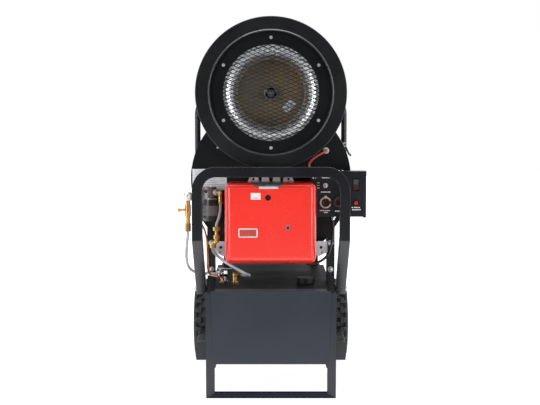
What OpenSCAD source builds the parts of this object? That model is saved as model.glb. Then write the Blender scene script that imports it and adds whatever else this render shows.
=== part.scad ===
// Portable indirect oil-fired air heater on two wheels, seen with its burner end to the front.
// Millimetres. +Z is up, +X is to the right of the burner end, +Y runs back to the warm-air outlet.
// The origin is the middle of the foot bar's underside, on the ground.

/* [Foot loop] */
// Outer half width of the foot loop
foot_half = 243; // [236:1:248]
// Width of the square leg tubes, across the machine
leg_w = 32; // [28:1:36]
// Depth of the foot loop's tubes, front to back
leg_d = 25; // [20:1:30]
// Height of the foot bar
bar_h = 20; // [16:1:30]
// Height of the legs' upper ends
leg_top = 396; // [380:1:400]

/* [Front hoop] */
// Outer half width of the front hoop
hoop_half = 293; // [290:1:296]
// Width of the hoop's square tube
hoop_tube = 38; // [34:1:38]
// Height of the hoop's upper face
hoop_top = 866; // [850:1:880]
// Outer radius of the hoop's upper corners
hoop_r = 89; // [70:1:110]
// Height at which the hoop's legs bend backward
hoop_bend_z = 600; // [580:1:620]
// Front face of the upright part of the hoop
hoop_front = -10; // [-20:1:-4]
// Wall of the frame's tubes
tube_wall = 3; // [2:0.5:4]

/* [Chassis] */
// Front of the side rails
rail_front = 120; // [90:1:140]
// Rear of the side rails, ahead of the tyres
rail_back = 436; // [400:1:440]
// Underside of the side rails
rail_z = 115; // [108:1:125]
// Height of the side rails
rail_h = 70; // [60:1:74]
// Width of the side rails
rail_w = 68; // [60:1:70]
// Thickness of the side plates that carry the axle
plate_t = 12; // [8:1:12]
// Inner face of the side plates
plate_in = 208; // [207:1:210]
// Rear end of the side plates
plate_back = 816; // [812:1:817]
// Width of the square posts that carry the drum
post_w = 32; // [26:1:34]
// Front face of the front posts
post_front = 226; // [224:1:240]
// Front face of the rear posts
post_rear = 700; // [690:1:720]

/* [Rear hoop] */
// Outer half width of the rear push hoop
push_half = 338; // [330:1:344]
// Outside radius of the push hoop's round tube
push_r = 12.5; // [10:0.5:14]
// Height of the push hoop's top
push_top = 1186; // [1150:1:1220]
// Bend radius of the push hoop's corners, to the tube's centre
push_bend = 120; // [90:1:160]
// Distance of the push hoop's tube centre from the front
push_y = 838; // [836:1:842]

/* [Wheels] */
// Tyre radius
tyre_r = 175; // [165:1:178]
// Tyre width
tyre_w = 96; // [80:1:98]
// Distance from the machine's centre plane to the middle of a tyre
track_half = 276; // [274:1:282]
// Distance of the axle from the front
axle_y = 632; // [628:1:650]
// Radius of the axle
axle_r = 12; // [10:0.5:14]
// Radial clearance of a wheel on the axle
wheel_clear = 0.08; // [0.02:0.01:0.1]
// Rim radius at the tyre's bead
rim_r = 102; // [95:1:108]
// Knobs around each row of the tread
knobs = 26; // [18:1:30]

/* [Fuel tank] */
// Half width of the tank
tank_half = 205; // [190:1:206]
// Underside of the tank
tank_z = 132; // [130:1:140]
// Height of the tank
tank_h = 270; // [240:1:270]
// Rear end of the tank
tank_back = 570; // [520:1:590]
// Radius of the tank's long edges
tank_r = 16; // [10:1:24]
// Wall of the tank
tank_wall = 2; // [1.5:0.5:3]
// Place of the filler neck across the machine
filler_x = 135; // [90:1:150]
// Distance of the filler neck from the front
filler_y = 190; // [150:1:220]
// Outside radius of the filler neck
neck_r = 28; // [24:1:30]
// Height of the filler neck above the tank
neck_h = 16; // [12:1:24]

/* [Drum] */
// Outside radius of the drum
drum_r = 312; // [300:1:313]
// Height of the drum's axis
drum_z = 806; // [804:1:815]
// Front face of the drum
drum_front = 220; // [215:1:225]
// Rear end of the drum's straight shell
drum_back = 940; // [900:1:960]
// Wall of the drum's shell
drum_wall = 2; // [1.5:0.5:3]
// Radius of the warm-air outlet collar
collar_r = 200; // [180:1:220]
// Length of the outlet collar
collar_l = 70; // [50:1:80]
// Length of the rear cone
cone_l = 50; // [40:1:60]
// Gap between the combustion chamber and the drum's bottom
chamber_gap = 26; // [22:1:46]
// Height of the combustion chamber's axis
chamber_z = 680; // [675:1:690]
// Outside radius of the flue spigot
flue_r = 75; // [60:1:80]
// Distance of the flue spigot from the front
flue_y = 745; // [744:1:750]

/* [Fan] */
// Height of the fan's axis
fan_z = 1139; // [1136:1:1142]
// Outer radius of the fan's inlet ring
ring_r = 282; // [278:1:284]
// Front face of the inlet ring
ring_front = 40; // [36:1:44]
// Radius of the bead step on the inlet ring
bead_r = 229; // [224:1:232]
// Radius of the opening behind the guard
guard_r = 180; // [176:1:184]
// Throat radius of the inlet cone
throat_r = 126; // [122:1:130]
// Outer radius of the impeller
impeller_r = 205; // [190:1:215]
// Number of impeller blades
blades = 12; // [9:1:14]
// Length of one guard mesh, across
mesh_x = 37; // [34:1:44]
// Height of one guard mesh
mesh_z = 14.5; // [13:0.5:18]

/* [Burner] */
// Width of the burner cover
cover_w = 346; // [340:1:350]
// Height of the burner cover
cover_h = 306.5; // [304:0.5:308]
// Middle of the burner cover across the machine
cover_x = -2; // [-4:1:0]
// Underside of the burner cover
cover_z = 497; // [495:0.5:499]
// Front face of the burner cover
cover_front = 50; // [46:1:54]
// Depth of the burner cover
cover_d = 104; // [95:1:106]
// Edge radius of the burner cover
cover_r = 28; // [20:1:32]
// Sheet thickness of the burner cover
cover_t = 2; // [1.5:0.5:3]
// Radius of the blast tube
blast_r = 62; // [55:1:70]

/* [Control box] */
// Left side of the control box
box_left = 153; // [150:1:158]
// Right side of the control box
box_right = 366; // [360:1:368]
// Underside of the control box
box_z = 666; // [662:1:668]
// Height of the control box
box_h = 176; // [172:1:178]
// Front face of the control box's lid
box_front = 158; // [157:1:162]
// Sheet thickness of the control box
box_t = 2; // [1.5:0.5:2.5]

/* [Hidden] */
$fn = 64;
eps = 0.5;          // overshoot of a cut past a face
seat = 0.3;         // gap between neighbours that don't touch
leg_in = foot_half - leg_w;
leg_mid = foot_half - leg_w / 2;
hoop_in = hoop_half - hoop_tube;
hoop_back = hoop_front + hoop_tube;
hoop_mid_y = hoop_front + hoop_tube / 2;
hoop_bolt_y = post_front + 9;
hoop_bolt_z = hoop_bend_z - (hoop_bolt_y - hoop_mid_y);
rail_in = plate_in + plate_t;
rail_top = rail_z + rail_h;
post_in = 218;
rear_post_out = 206;
cradle_t = 6;       // thickness of the drum's saddles
cradle_r = drum_r + cradle_t;
hub_in = track_half - 36;
hub_out = track_half + 36;
bead_half = tyre_w / 2 - 14;   // half width of a tyre at its bead
tank_top = tank_z + tank_h;
tank_front = leg_d / 2;
step_back = post_rear - 10;   // rear of the tank's upper part
step_z = tyre_r + axle_r + 28;  // height of the step over the axle
panel_t = 3;
panel_top = tank_top + panel_t;
shell_front = drum_front + drum_wall;
chamber_r = drum_r - drum_z + chamber_z - chamber_gap;
post_bolts = [452, drum_z - sqrt(pow(drum_r + 30, 2) - pow(post_in + post_w / 2, 2))];
cone_back = drum_back + cone_l;
collar_back = cone_back + collar_l;
ring_t = 3;         // sheet of the inlet ring
recess = 10;        // depth of the recessed inlet plate
inlet_back = ring_front + recess + ring_t;
casing_front = ring_front + 22;
casing_r = ring_r - 2;
casing_back = drum_front;
bolt_r = guard_r + 24;  // radius of the guard screws' circle
hood_r = 262;
hood_half = 226;
hood_back = 640;
motor_r = 70;
motor_hole_r = motor_r + 6;
blade_back = 196;
blade_front = 140;
hub_r = 27;
eye_r = throat_r + 6;   // opening in the impeller's front ring
shaft_r = 9.5;
bracket_y = 206;
blade_arc = 110;    // radius of a blade's curve
cover_mid_z = cover_z + cover_h / 2;
cover_back = cover_front + cover_d;
flange_front = cover_back + 2;
flange_t = 12;
flange_back = flange_front + flange_t;
button_x = -11;
button_z = 748;
button_r = 7;
screw_x = 63;
screw_z = 635;
box_back = drum_front;
box_top = box_z + box_h;
lid_t = 3;
lid_back = box_front + lid_t;
rocker_x = 326.5;
rocker_z = 790;
rocker_w = 21;
rocker_h = 42;
push_x = 326.5;
push_z = 719.5;
push_button_r = 7;
toggle_x = 209;
toggle_z = 787;
toggle_y = box_front - 4;
socket_a = [210, 721, 22];
socket_b = [257, 722, 18];
gland_x = 239;
gland_y = 186;
wire_gland = [214, 919];
filter_x = -229;
filter_y = 172;
head_z = 739;
head_h = 42;
vent_x = -321;
vent_y = filter_y;
valve_y = 210;
valve_z = 438;
valve_x = -200;
outlet_x = -140;
outlet_y = 170;
outlet_z = 438;
latch_turn = [24.5, 11];   // angles up the drum's side of the right and left latch
latch_y = [300, 540];      // distances of the right and left latch from the front
latch_rise = 9;     // height of a latch's pin over the drum

// Routes of the hoses and cables, as points on their centre lines.
HOSE_UPPER = [[-194, 137, 718], [-194, 137, 706], [-195, 136, 685], [-201, 135, 660], [-208, 134, 641],
    [-208, 134, 629]];
HOSE_LOWER = [[-222, 134, 548], [-222, 134, 541], [-216, 131, 529], [-200, 120, 516], [-177, 104, 500],
    [-147, 91, 484], [-116, 86, 466], [-93, 98, 452], [-84, 126, 443], [-88, 152, 439.5], [-102, 170, 438],
    [-118, 170, 438]];
HOSE_VENT = [[-321, 172, 608], [-321, 172, 596], [-325, 173, 560], [-328, 177, 510], [-321, 190, 468],
    [-300, 205, 446], [-275, 210, 438], [-252, 210, 438]];
PIPE_RETURN = [[-263.3, 186, 755], [-269, 186, 755], [-277, 187, 748], [-280, 188, 720], [-280, 188, 680],
    [-274, 190, 645], [-258, 192, 610], [-249, 192, 565], [-247, 190, 500], [-246, 186, 465],
    [-236, 182, 440], [-214, 180, 433], [-196, 180, 428], [-192, 180, 418], [-192, 180, 410.3]];
CABLE_BURNER = [[239, 186, 652], [240, 180, 634], [241, 166, 605], [236, 156, 575], [228, 150, 544],
    [216, 146, 517], [196, 144, 499], [168, 142, 487], [148, 139, 485], [136, 137, 488.5]];
WIRE_RED = [[214, 217, 919], [213, 205, 918], [203, 194, 912], [187, 190, 904], [164, 187, 889],
    [148, 186, 871], [149, 186, 857], [160, 186, 851], [166, 186, 841]];

// Helpers: profiles drawn in the plane of X and Z are pushed along Y, and so on.
module along_y(y0, y1) {
    translate([0, y1, 0]) rotate([90, 0, 0]) linear_extrude(y1 - y0) children();
}
module along_x(x0, x1) {
    translate([x0, 0, 0]) rotate([90, 0, 90]) linear_extrude(x1 - x0) children();
}
module rod_y(r, y0, y1, x, z) {
    translate([x, y1, z]) rotate([90, 0, 0]) cylinder(r = r, h = y1 - y0);
}
module rod_x(r, x0, x1, y, z) {
    translate([x0, y, z]) rotate([0, 90, 0]) cylinder(r = r, h = x1 - x0);
}
module rod_z(r, z0, z1, x, y) {
    translate([x, y, z0]) cylinder(r = r, h = z1 - z0);
}
module block(low, high) {
    translate(low) cube(high - low);
}
module both_sides() {
    children();
    mirror([1, 0, 0]) children();
}
module round_rect(w, h, r) {
    square([w - 2 * r, h], center = true);
    square([w, h - 2 * r], center = true);
    for (x = [-1, 1], y = [-1, 1]) translate([x * (w / 2 - r), y * (h / 2 - r)]) circle(r = r);
}
module hexagon(across) {
    circle(r = across / sqrt(3), $fn = 6);
}
// A ring turned about an axis along Y: children() are drawn as radius against depth.
module turned_y(x, z) {
    translate([x, 0, z]) rotate([-90, 0, 0]) rotate_extrude($fn = 96) children();
}

// Smooth route through points, and a round tube swept along it with square ends.
function spline(p0, p1, p2, p3, t) = 0.5 * (2 * p1 + (p2 - p0) * t
    + (2 * p0 - 5 * p1 + 4 * p2 - p3) * t * t + (3 * p1 - p0 - 3 * p2 + p3) * t * t * t);
function smooth(p, k) = [for (i = [0 : len(p) - 2], j = [0 : k - 1])
    spline(p[max(i - 1, 0)], p[i], p[i + 1], p[min(i + 2, len(p) - 1)], j / k), p[len(p) - 1]];
function unit(v) = v / norm(v);
function heading(p, i) = unit(p[min(i + 1, len(p) - 1)] - p[max(i - 1, 0)]);
function side_of(d, ref) = unit(cross(d, ref));
module tube_along(points, r, sides = 8, k = 3) {
    path = smooth(points, k);
    ref = [0.31, 0.93, 0.17];
    n = len(path);
    m = len(points);
    ring = [for (i = [0 : n - 1]) let (d = i == 0 ? unit(points[1] - points[0])
        : i == n - 1 ? unit(points[m - 1] - points[m - 2]) : heading(path, i),
        u = side_of(d, ref), v = cross(d, u))
        for (j = [0 : sides - 1]) let (a = 360 * j / sides) path[i] + r * (cos(a) * u + sin(a) * v)];
    skin = [for (i = [0 : n - 2], j = [0 : sides - 1]) let (a = i * sides + j,
        b = i * sides + (j + 1) % sides) each [[a, a + sides, b], [b, a + sides, b + sides]]];
    first = [for (j = [1 : sides - 2]) [0, j, j + 1]];
    last = [for (j = [1 : sides - 2]) [(n - 1) * sides, (n - 1) * sides + j + 1, (n - 1) * sides + j]];
    polyhedron([for (q = ring) q], [for (f = concat(skin, first, last)) f]);
}

// Frame ---------------------------------------------------------------------

module foot_loop() color("#2b2f36") {
    both_sides() difference() {
        block([leg_in, -leg_d / 2, 0], [foot_half, leg_d / 2, leg_top]);
        block([leg_in + tube_wall, tube_wall - leg_d / 2, bar_h + tube_wall],
            [foot_half - tube_wall, leg_d / 2 - tube_wall, leg_top + eps]);
    }
    difference() {
        block([-leg_in, -leg_d / 2, 0], [leg_in, leg_d / 2, bar_h]);
        block([-leg_in - eps, tube_wall - leg_d / 2, tube_wall],
            [leg_in + eps, leg_d / 2 - tube_wall, bar_h - tube_wall]);
    }
}

module side_rail() {
    out = rail_in + rail_w;
    difference() {
        block([rail_in, rail_front, rail_z], [out, rail_back, rail_top]);
        block([rail_in - eps, rail_front + tube_wall, rail_z + tube_wall],
            [out - tube_wall, rail_back - tube_wall, rail_top - tube_wall]);
    }
}

module side_plate() {
    plate_bottom = rail_z - 5;
    difference() {
        along_x(plate_in, rail_in) polygon([[leg_d / 2, plate_bottom], [plate_back, plate_bottom],
            [plate_back, rail_top - 20], [axle_y + 50, rail_top + 20], [axle_y - 50, rail_top + 20],
            [axle_y - 100, rail_top], [leg_d / 2, rail_top]]);
        rod_x(axle_r, plate_in - eps, rail_in + eps, axle_y, tyre_r);
    }
}

module base_frame() color("#23272d") {
    both_sides() {
        side_rail();
        side_plate();
    }
    for (y = [rail_front + 20, tank_back - 60])
        block([-plate_in, y, tank_z - 25], [plate_in, y + 40, tank_z]);
    block([-plate_in, post_rear - 4, tank_z - 18], [plate_in, post_rear + post_w + 4, tank_z + 32]);
}

// Posts with curved saddles under the drum, front and rear.
module cradle_pair(y, x, foot) {
    difference() {
        both_sides() block([x, y, foot], [x + post_w, y + post_w, drum_z - 120]);
        rod_y(cradle_r, y - eps, y + post_w + eps, 0, drum_z);
    }
    intersection() {
        difference() {
            rod_y(cradle_r, y, y + post_w, 0, drum_z);
            rod_y(drum_r, y - eps, y + post_w + eps, 0, drum_z);
        }
        block([-x - post_w, y - eps, 0], [x + post_w, y + post_w + eps, drum_z - 150]);
    }
}

module drum_cradle() color("#1c1f23") {
    cradle_pair(post_front, post_in, rail_top);
    cradle_pair(post_rear, rear_post_out - post_w, tank_z + 32);
}

// Arched outline, open below, that the hoop's outer and inner edges follow.
module hoop_outline(half, top, r, low) {
    translate([-half, low]) square([2 * half, top - r - low]);
    translate([r - half, low]) square([2 * (half - r), top - low]);
    for (s = [-1, 1]) translate([s * (half - r), top - r]) circle(r = r);
}

// The hoop as a bar of square section, drawn in by inset for the hollow inside the tube.
// Its legs bend back by 45 degrees and end beside the front posts.
module hoop_bar(inset) {
    h = hoop_tube / 2 - inset;
    miter = h * tan(22.5);
    n = h * sin(45);
    end_y = hoop_bolt_y + 7 - inset * sin(45);
    end_z = hoop_bend_z - (end_y - hoop_mid_y);
    along_y(hoop_mid_y - h, hoop_mid_y + h) difference() {
        hoop_outline(hoop_half - inset, hoop_top - inset, hoop_r - inset, hoop_bend_z);
        hoop_outline(hoop_in + inset, hoop_top - hoop_tube + inset, hoop_r - hoop_tube + inset,
            hoop_bend_z - eps);
    }
    both_sides() along_x(hoop_in + inset, hoop_half - inset) polygon([
        [hoop_mid_y - h, hoop_bend_z + 20], [hoop_mid_y - h, hoop_bend_z - miter],
        [end_y - n, end_z - n], [end_y + n, end_z + n],
        [hoop_mid_y + h, hoop_bend_z + miter], [hoop_mid_y + h, hoop_bend_z + 20]]);
}

module front_hoop() color("#23272c") {
    difference() {
        hoop_bar(0);
        hoop_bar(tube_wall);
    }
    // Spacers between the hoop's feet and the posts.
    both_sides() rod_x(11, post_in + post_w, hoop_in, hoop_bolt_y, hoop_bolt_z);
}

module push_hoop() color("#23272c") {
    mid = push_half - push_r;
    corner = push_top - push_r - push_bend;
    both_sides() {
        rod_z(push_r, tank_z + 10, corner, mid, push_y);
        translate([mid - push_bend, push_y, corner]) rotate([90, 0, 0])
            rotate_extrude(angle = 90) translate([push_bend, 0]) circle(r = push_r);
        // Foot of the hoop, welded to the side plate.
        rod_x(push_r, rail_in, mid, push_y, tank_z + 10);
        translate([mid, push_y, tank_z + 10]) sphere(r = push_r);
        block([plate_in, plate_back, tank_z - 10], [rail_in, push_y + push_r, tank_z + 30]);
    }
    rod_x(push_r, push_bend - mid, mid - push_bend, push_y, push_top - push_r);
}

// Dome nuts and washers on the posts, and the bolts through the hoop's feet.
module frame_bolts() color("#c9ccd0") {
    both_sides() {
        for (z = post_bolts) {
            rod_y(11, post_front - 2, post_front, post_in + post_w / 2, z);
            rod_y(7, post_front - 9, post_front - 2, post_in + post_w / 2, z);
            translate([post_in + post_w / 2, post_front - 9, z]) sphere(r = 7);
        }
        rod_x(12, hoop_half, hoop_half + 2, hoop_bolt_y, hoop_bolt_z);
        along_x(hoop_half + 2, hoop_half + 9) translate([hoop_bolt_y, hoop_bolt_z]) hexagon(17);
    }
}

// Wheels --------------------------------------------------------------------

module axle() color("#8f9296") {
    rod_x(axle_r, -hub_out - 14, hub_out + 14, axle_y, tyre_r);
    both_sides() {
        rod_x(axle_r + 8, rail_in, hub_in - seat, axle_y, tyre_r);
        rod_x(axle_r + 8, hub_out + seat, hub_out + 3, axle_y, tyre_r);
    }
}

module axle_nuts() color("#c4c7ca") {
    both_sides() difference() {
        union() {
            along_x(hub_out + 3, hub_out + 12) translate([axle_y, tyre_r]) hexagon(32);
            rod_x(15, hub_out + 12, hub_out + 20, axle_y, tyre_r);
        }
        rod_x(axle_r, hub_out + 3 - eps, hub_out + 14, axle_y, tyre_r);
    }
}

// Tyre section, as radius against half width, with a rounded shoulder.
module tyre_section() {
    wall_r = 22;
    body = tyre_r - 9;
    low = rim_r + 24;
    half = tyre_w / 2;
    difference() {
        union() {
            translate([rim_r, -bead_half]) square([24, 2 * bead_half]);
            translate([low, -half]) square([body - wall_r - low, tyre_w]);
            translate([low, wall_r - half]) square([body - low, tyre_w - 2 * wall_r]);
            for (s = [-1, 1]) {
                translate([body - wall_r, s * (half - wall_r)]) circle(r = wall_r);
                translate([low, s * (half - 14)]) circle(r = 14);
            }
        }
        translate([low, 14 - half]) square([body - low - 10, tyre_w - 28]);
    }
}

// One knob of the tread: a short band, cut from the tyre's round.
module knob(turn, low, high, span) {
    rotate([0, 0, turn]) rotate_extrude(angle = span, $fn = 48)
        translate([tyre_r - 12, low]) square([12, high - low]);
}

module tyre(x) {
    half = tyre_w / 2;
    step = 360 / knobs;
    translate([x, axle_y, tyre_r]) rotate([0, 90, 0]) {
        rotate_extrude($fn = 96) tyre_section();
        for (i = [0 : knobs - 1]) {
            knob(i * step, -11, 11, step * 0.56);
            knob((i + 0.5) * step, -31, -14, step * 0.6);
            knob((i + 0.5) * step, 14, 31, step * 0.6);
            knob(i * step, 34, half - 5, step * 0.5);
            knob(i * step, 5 - half, -34, step * 0.5);
        }
    }
}
module tyre_left() color("#1a1c1e") tyre(-track_half);
module tyre_right() color("#1a1c1e") tyre(track_half);

// Pressed wheel: hub with its bore, dished disc with holes, and the rim.
module rim(x, s) {
    half = bead_half + 2.1;
    translate([x, axle_y, tyre_r]) rotate([0, 90 * s, 0]) difference() {
        rotate_extrude($fn = 96) {
            translate([axle_r + wheel_clear, -36]) square([14, 72]);
            polygon([[axle_r + 10, 3], [47, 3], [63, 17], [rim_r - 2, 17], [rim_r - 2, 20],
                [62, 20], [46, 6], [axle_r + 10, 6]]);
            translate([rim_r - 4, -half]) square([4, 2 * half]);
            for (e = [-1, 1]) translate([rim_r - 4, e * half - 1.8]) square([11, 3.6]);
        }
        for (i = [0 : 4]) rotate([0, 0, 72 * i]) translate([78, 0, 0]) cylinder(r = 9, h = 40);
    }
}
module rim_left() color("#2e3136") rim(-track_half, -1);
module rim_right() color("#2e3136") rim(track_half, 1);

// Fuel tank -----------------------------------------------------------------

module tank_box(inset) {
    low = step_z + inset;
    rear = tank_back - inset;
    intersection() {
        along_y(tank_front + inset, step_back - inset) translate([0, tank_z + tank_h / 2])
            round_rect(2 * (tank_half - inset), tank_h - 2 * inset, tank_r - inset);
        // The tank's rear is stepped up over the axle.
        along_x(-tank_half - 1, tank_half + 1) polygon([[0, tank_z - 1], [rear, tank_z - 1], [rear, low],
            [step_back + 1, low], [step_back + 1, tank_top + 1], [0, tank_top + 1]]);
    }
}

module tank_shell() color("#1b1e22") {
    difference() {
        union() {
            tank_box(0);
            rod_z(neck_r, tank_top - 1, tank_top + neck_h, filler_x, filler_y);
        }
        tank_box(tank_wall);
        rod_z(neck_r - 3, tank_top - tank_wall - 3, tank_top + neck_h + eps, filler_x, filler_y);
    }
}

module tank_front_panel() color("#424750") {
    along_y(-tank_front - panel_t, -tank_front) polygon([[-214.5, tank_z - 2], [214.5, tank_z - 2],
        [223, panel_top], [-223, panel_top]]);
    block([-leg_in + 1, -tank_front, panel_top - panel_t], [leg_in - 1, tank_front + 30, panel_top]);
}

module tank_cap() color("#141516") {
    cap_r = neck_r + 6;
    translate([filler_x, filler_y, 0]) {
        difference() {
            translate([0, 0, tank_top + 3]) cylinder(r = cap_r, h = neck_h + 5);
            translate([0, 0, tank_top + 2]) cylinder(r = neck_r + 0.6, h = neck_h - 2 + seat);
        }
        for (i = [0 : 11]) rotate([0, 0, 30 * i]) translate([cap_r - 1, -2.5, tank_top + 4])
            cube([3, 5, neck_h + 1]);
    }
}

// Drum and heat exchanger -----------------------------------------------------

module drum_shell() color("#16181b") {
    difference() {
        rod_y(drum_r, shell_front, drum_back, 0, drum_z);
        rod_y(drum_r - drum_wall, shell_front - eps, drum_back + eps, 0, drum_z);
        // Air inlet from the hood, at the top.
        block([-hood_half + 14, shell_front - eps, drum_z + 150],
            [hood_half - 14, hood_back - 60, drum_z + drum_r + eps]);
        rod_z(flue_r, drum_z, drum_z + drum_r + eps, 0, flue_y);
    }
    // Rolled bead round the shell's rear.
    difference() {
        rod_y(drum_r + 4, drum_back - 60, drum_back - 48, 0, drum_z);
        rod_y(drum_r, drum_back - 60 - eps, drum_back - 48 + eps, 0, drum_z);
    }
}

module drum_front_plate() color("#15171a") {
    along_y(drum_front, shell_front) difference() {
        translate([0, drum_z]) circle(r = drum_r);
        translate([0, fan_z]) circle(r = motor_hole_r);
        translate([cover_x, chamber_z]) circle(r = blast_r);
    }
}

module outlet_cone() color("#1b1e21") {
    translate([0, drum_back, drum_z]) rotate([-90, 0, 0]) rotate_extrude($fn = 96) {
        polygon([[drum_r, 0], [collar_r, cone_l], [collar_r, cone_l + collar_l],
            [collar_r - drum_wall, cone_l + collar_l], [collar_r - drum_wall, cone_l - 0.6],
            [drum_r - drum_wall - 2, 0]]);
    }
}

module combustion_chamber() color("#7d7f80") {
    front = shell_front + 18;
    back = drum_back - 200;
    difference() {
        union() {
            rod_y(chamber_r, front, back, 0, chamber_z);
            intersection() {
                for (y = [post_front + 20, post_rear - 40])
                    block([-70, y, drum_z - drum_r], [70, y + 20, chamber_z - 100]);
                rod_y(drum_r - drum_wall, front, back, 0, drum_z);
            }
        }
        rod_y(chamber_r - 3, front + 3, back - 3, 0, chamber_z);
        rod_y(blast_r, front - eps, front + 3 + eps, cover_x, chamber_z);
    }
}

module heat_exchanger() color("#8a8c8d") {
    low = chamber_z + chamber_r + 34;
    high = low + 96;
    half = 170;
    for (y = [post_front + 34, flue_y - 45]) difference() {
        block([-half, y, low], [half, y + 90, high]);
        block([-half + 2, y + 2, low + 2], [half - 2, y + 88, high - 2]);
    }
    for (i = [0 : 6], k = [0 : 1]) translate([(i - 3) * 46, 0, low + 26 + 44 * k]) difference() {
        rod_y(17, post_front + 124, flue_y - 45, 0, 0);
        rod_y(15, post_front + 124 - eps, flue_y - 45 + eps, 0, 0);
    }
    // Riser from the chamber's top to the front collector.
    difference() {
        block([-60, post_front + 44, chamber_z + 80], [60, post_front + 114, low]);
        block([-57, post_front + 47, chamber_z + 80 - eps], [57, post_front + 111, low - 3]);
        rod_y(chamber_r, 0, drum_back, 0, chamber_z);
    }
}

module flue_spigot() color("#9a9c9d") {
    low = chamber_z + chamber_r + 34 + 96;
    difference() {
        union() {
            rod_z(flue_r - seat, low, drum_z + drum_r + 104, 0, flue_y);
            difference() {
                rod_z(flue_r + 26, drum_z + drum_r - 12, drum_z + drum_r + 6, 0, flue_y);
                rod_y(drum_r, drum_front, drum_back, 0, drum_z);
            }
        }
        rod_z(flue_r - 2, low - eps, drum_z + drum_r + 105, 0, flue_y);
    }
}

// Fan -------------------------------------------------------------------------

// Sheet ring with a raised bead, a step back to the recessed plate, and an outer lip.
module inlet_ring() color("#16191d") {
    y0 = ring_front;
    difference() {
        turned_y(0, fan_z) {
            polygon([[ring_r, y0 + 2], [ring_r - 2, y0], [bead_r + 5, y0], [bead_r + 2, y0 - 2.5],
                [bead_r - 1, y0 - 2], [bead_r - 3, y0 + 3], [bead_r - 3, y0 + recess],
                [guard_r, y0 + recess], [guard_r, y0 + recess + ring_t],
                [bead_r, y0 + recess + ring_t], [bead_r, y0 + ring_t], [ring_r - 2, y0 + ring_t],
                [ring_r - 2, casing_front + 12], [ring_r, casing_front + 12]]);
        }
        for (a = [30 : 60 : 330]) rotate_about_fan(a) rod_y(3.2, y0, y0 + 30, bolt_r, 0);
    }
}

module rotate_about_fan(a) {
    translate([0, 0, fan_z]) rotate([0, -a, 0]) children();
}

// Expanded-metal guard: a flat net of diamonds with a plain rim.
// Whether a cell of the mesh reaches far enough into the guard's circle to be cut.
function cell_bites(x, z) = norm([x, z]) < 1
    || norm([x, z]) - max(abs(x) * mesh_x, abs(z) * mesh_z) / (2 * norm([x, z])) < guard_r - 7;

module fan_guard() color("#1d2024") {
    strand = 4.4;
    rows = ceil(guard_r / mesh_z);
    columns = ceil(guard_r / mesh_x);
    along_y(inlet_back, inlet_back + 2) translate([0, fan_z]) {
        difference() {
            circle(r = bolt_r + 8, $fn = 96);
            circle(r = guard_r - 2, $fn = 96);
            for (a = [30 : 60 : 330]) translate([bolt_r * cos(a), bolt_r * sin(a)]) circle(r = 3.2);
        }
        difference() {
            circle(r = guard_r + 2, $fn = 96);
            intersection() {
                circle(r = guard_r - 2, $fn = 96);
                union() for (i = [-columns : columns], k = [-rows : rows], h = [0, 0.5])
                    if (cell_bites((i + h) * mesh_x, (k + h) * mesh_z))
                        diamond((i + h) * mesh_x, (k + h) * mesh_z, strand);
            }
        }
    }
}

// One opening of the net, left out where it would run under the rim.
module diamond(x, z, strand) {
    slope = mesh_z / mesh_x;
    cut = strand / 2 * sqrt(1 + slope * slope);
    dz = mesh_z / 2 - cut / 2;
    dx = dz / slope;
    if (norm([abs(x) + dx * 0.6, abs(z)]) < guard_r - 1)
        translate([x, z]) polygon([[-dx, 0], [0, -dz], [dx, 0], [0, dz]]);
}

module guard_screws() color("#c8cbce") {
    for (a = [30 : 60 : 330]) rotate_about_fan(a) {
        rod_y(6, ring_front + recess - 3, ring_front + recess, bolt_r, 0);
        rod_y(3, ring_front + recess, inlet_back + 10, bolt_r, 0);
    }
}

// Galvanised bell mouth that leads the air to the impeller.
module inlet_cone() color("#b9bec4") {
    y0 = inlet_back + 2;
    difference() {
        turned_y(0, fan_z) polygon([[guard_r + 32, y0], [guard_r, y0],
            for (a = [0 : 15 : 90]) [throat_r + (guard_r - throat_r) * (1 - sin(a)),
                y0 + (blade_front - 8 - y0) * (1 - cos(a)) * 0.9 + 2],
            [throat_r, blade_front - 4], [throat_r + 2, blade_front - 4],
            for (a = [90 : -15 : 0]) [throat_r + 2 + (guard_r - throat_r) * (1 - sin(a)),
                y0 + (blade_front - 8 - y0) * (1 - cos(a)) * 0.9 + 4],
            [guard_r + 32, y0 + 2]]);
        for (a = [30 : 60 : 330]) rotate_about_fan(a) rod_y(3.2, y0 - eps, y0 + 20, bolt_r, 0);
    }
}

module hood_section(inset) {
    translate([0, fan_z]) circle(r = hood_r - inset, $fn = 96);
    translate([inset - hood_half, drum_z + 150]) square([2 * (hood_half - inset), fan_z - drum_z - 150]);
}

module fan_casing() color("#17191d") {
    difference() {
        rod_y(casing_r, casing_front, casing_back, 0, fan_z);
        rod_y(casing_r - 2, casing_front - eps, casing_back - 2, 0, fan_z);
        difference() {
            along_y(casing_back - 3, casing_back + eps) hood_section(2);
            rod_y(drum_r, casing_back - 4, casing_back + 1, 0, drum_z);
        }
        rod_y(motor_hole_r, casing_back - 3, casing_back + eps, 0, fan_z);
    }
}

module hood_profile(inset) {
    along_x(-ring_r, ring_r) polygon([[casing_back - (inset > 0 ? eps : 0), drum_z + 150],
        [casing_back - (inset > 0 ? eps : 0), fan_z + ring_r], [430 - inset, fan_z + ring_r],
        [hood_back - inset * 1.4, drum_z + drum_r + 30], [hood_back - inset * 1.4, drum_z + 150]]);
}

module air_hood() color("#17191d") {
    difference() {
        intersection() {
            along_y(casing_back, hood_back) hood_section(0);
            hood_profile(0);
        }
        intersection() {
            along_y(casing_back - eps, hood_back) hood_section(2);
            hood_profile(2);
        }
        rod_y(drum_r, casing_back - eps, hood_back + eps, 0, drum_z);
    }
}

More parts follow.
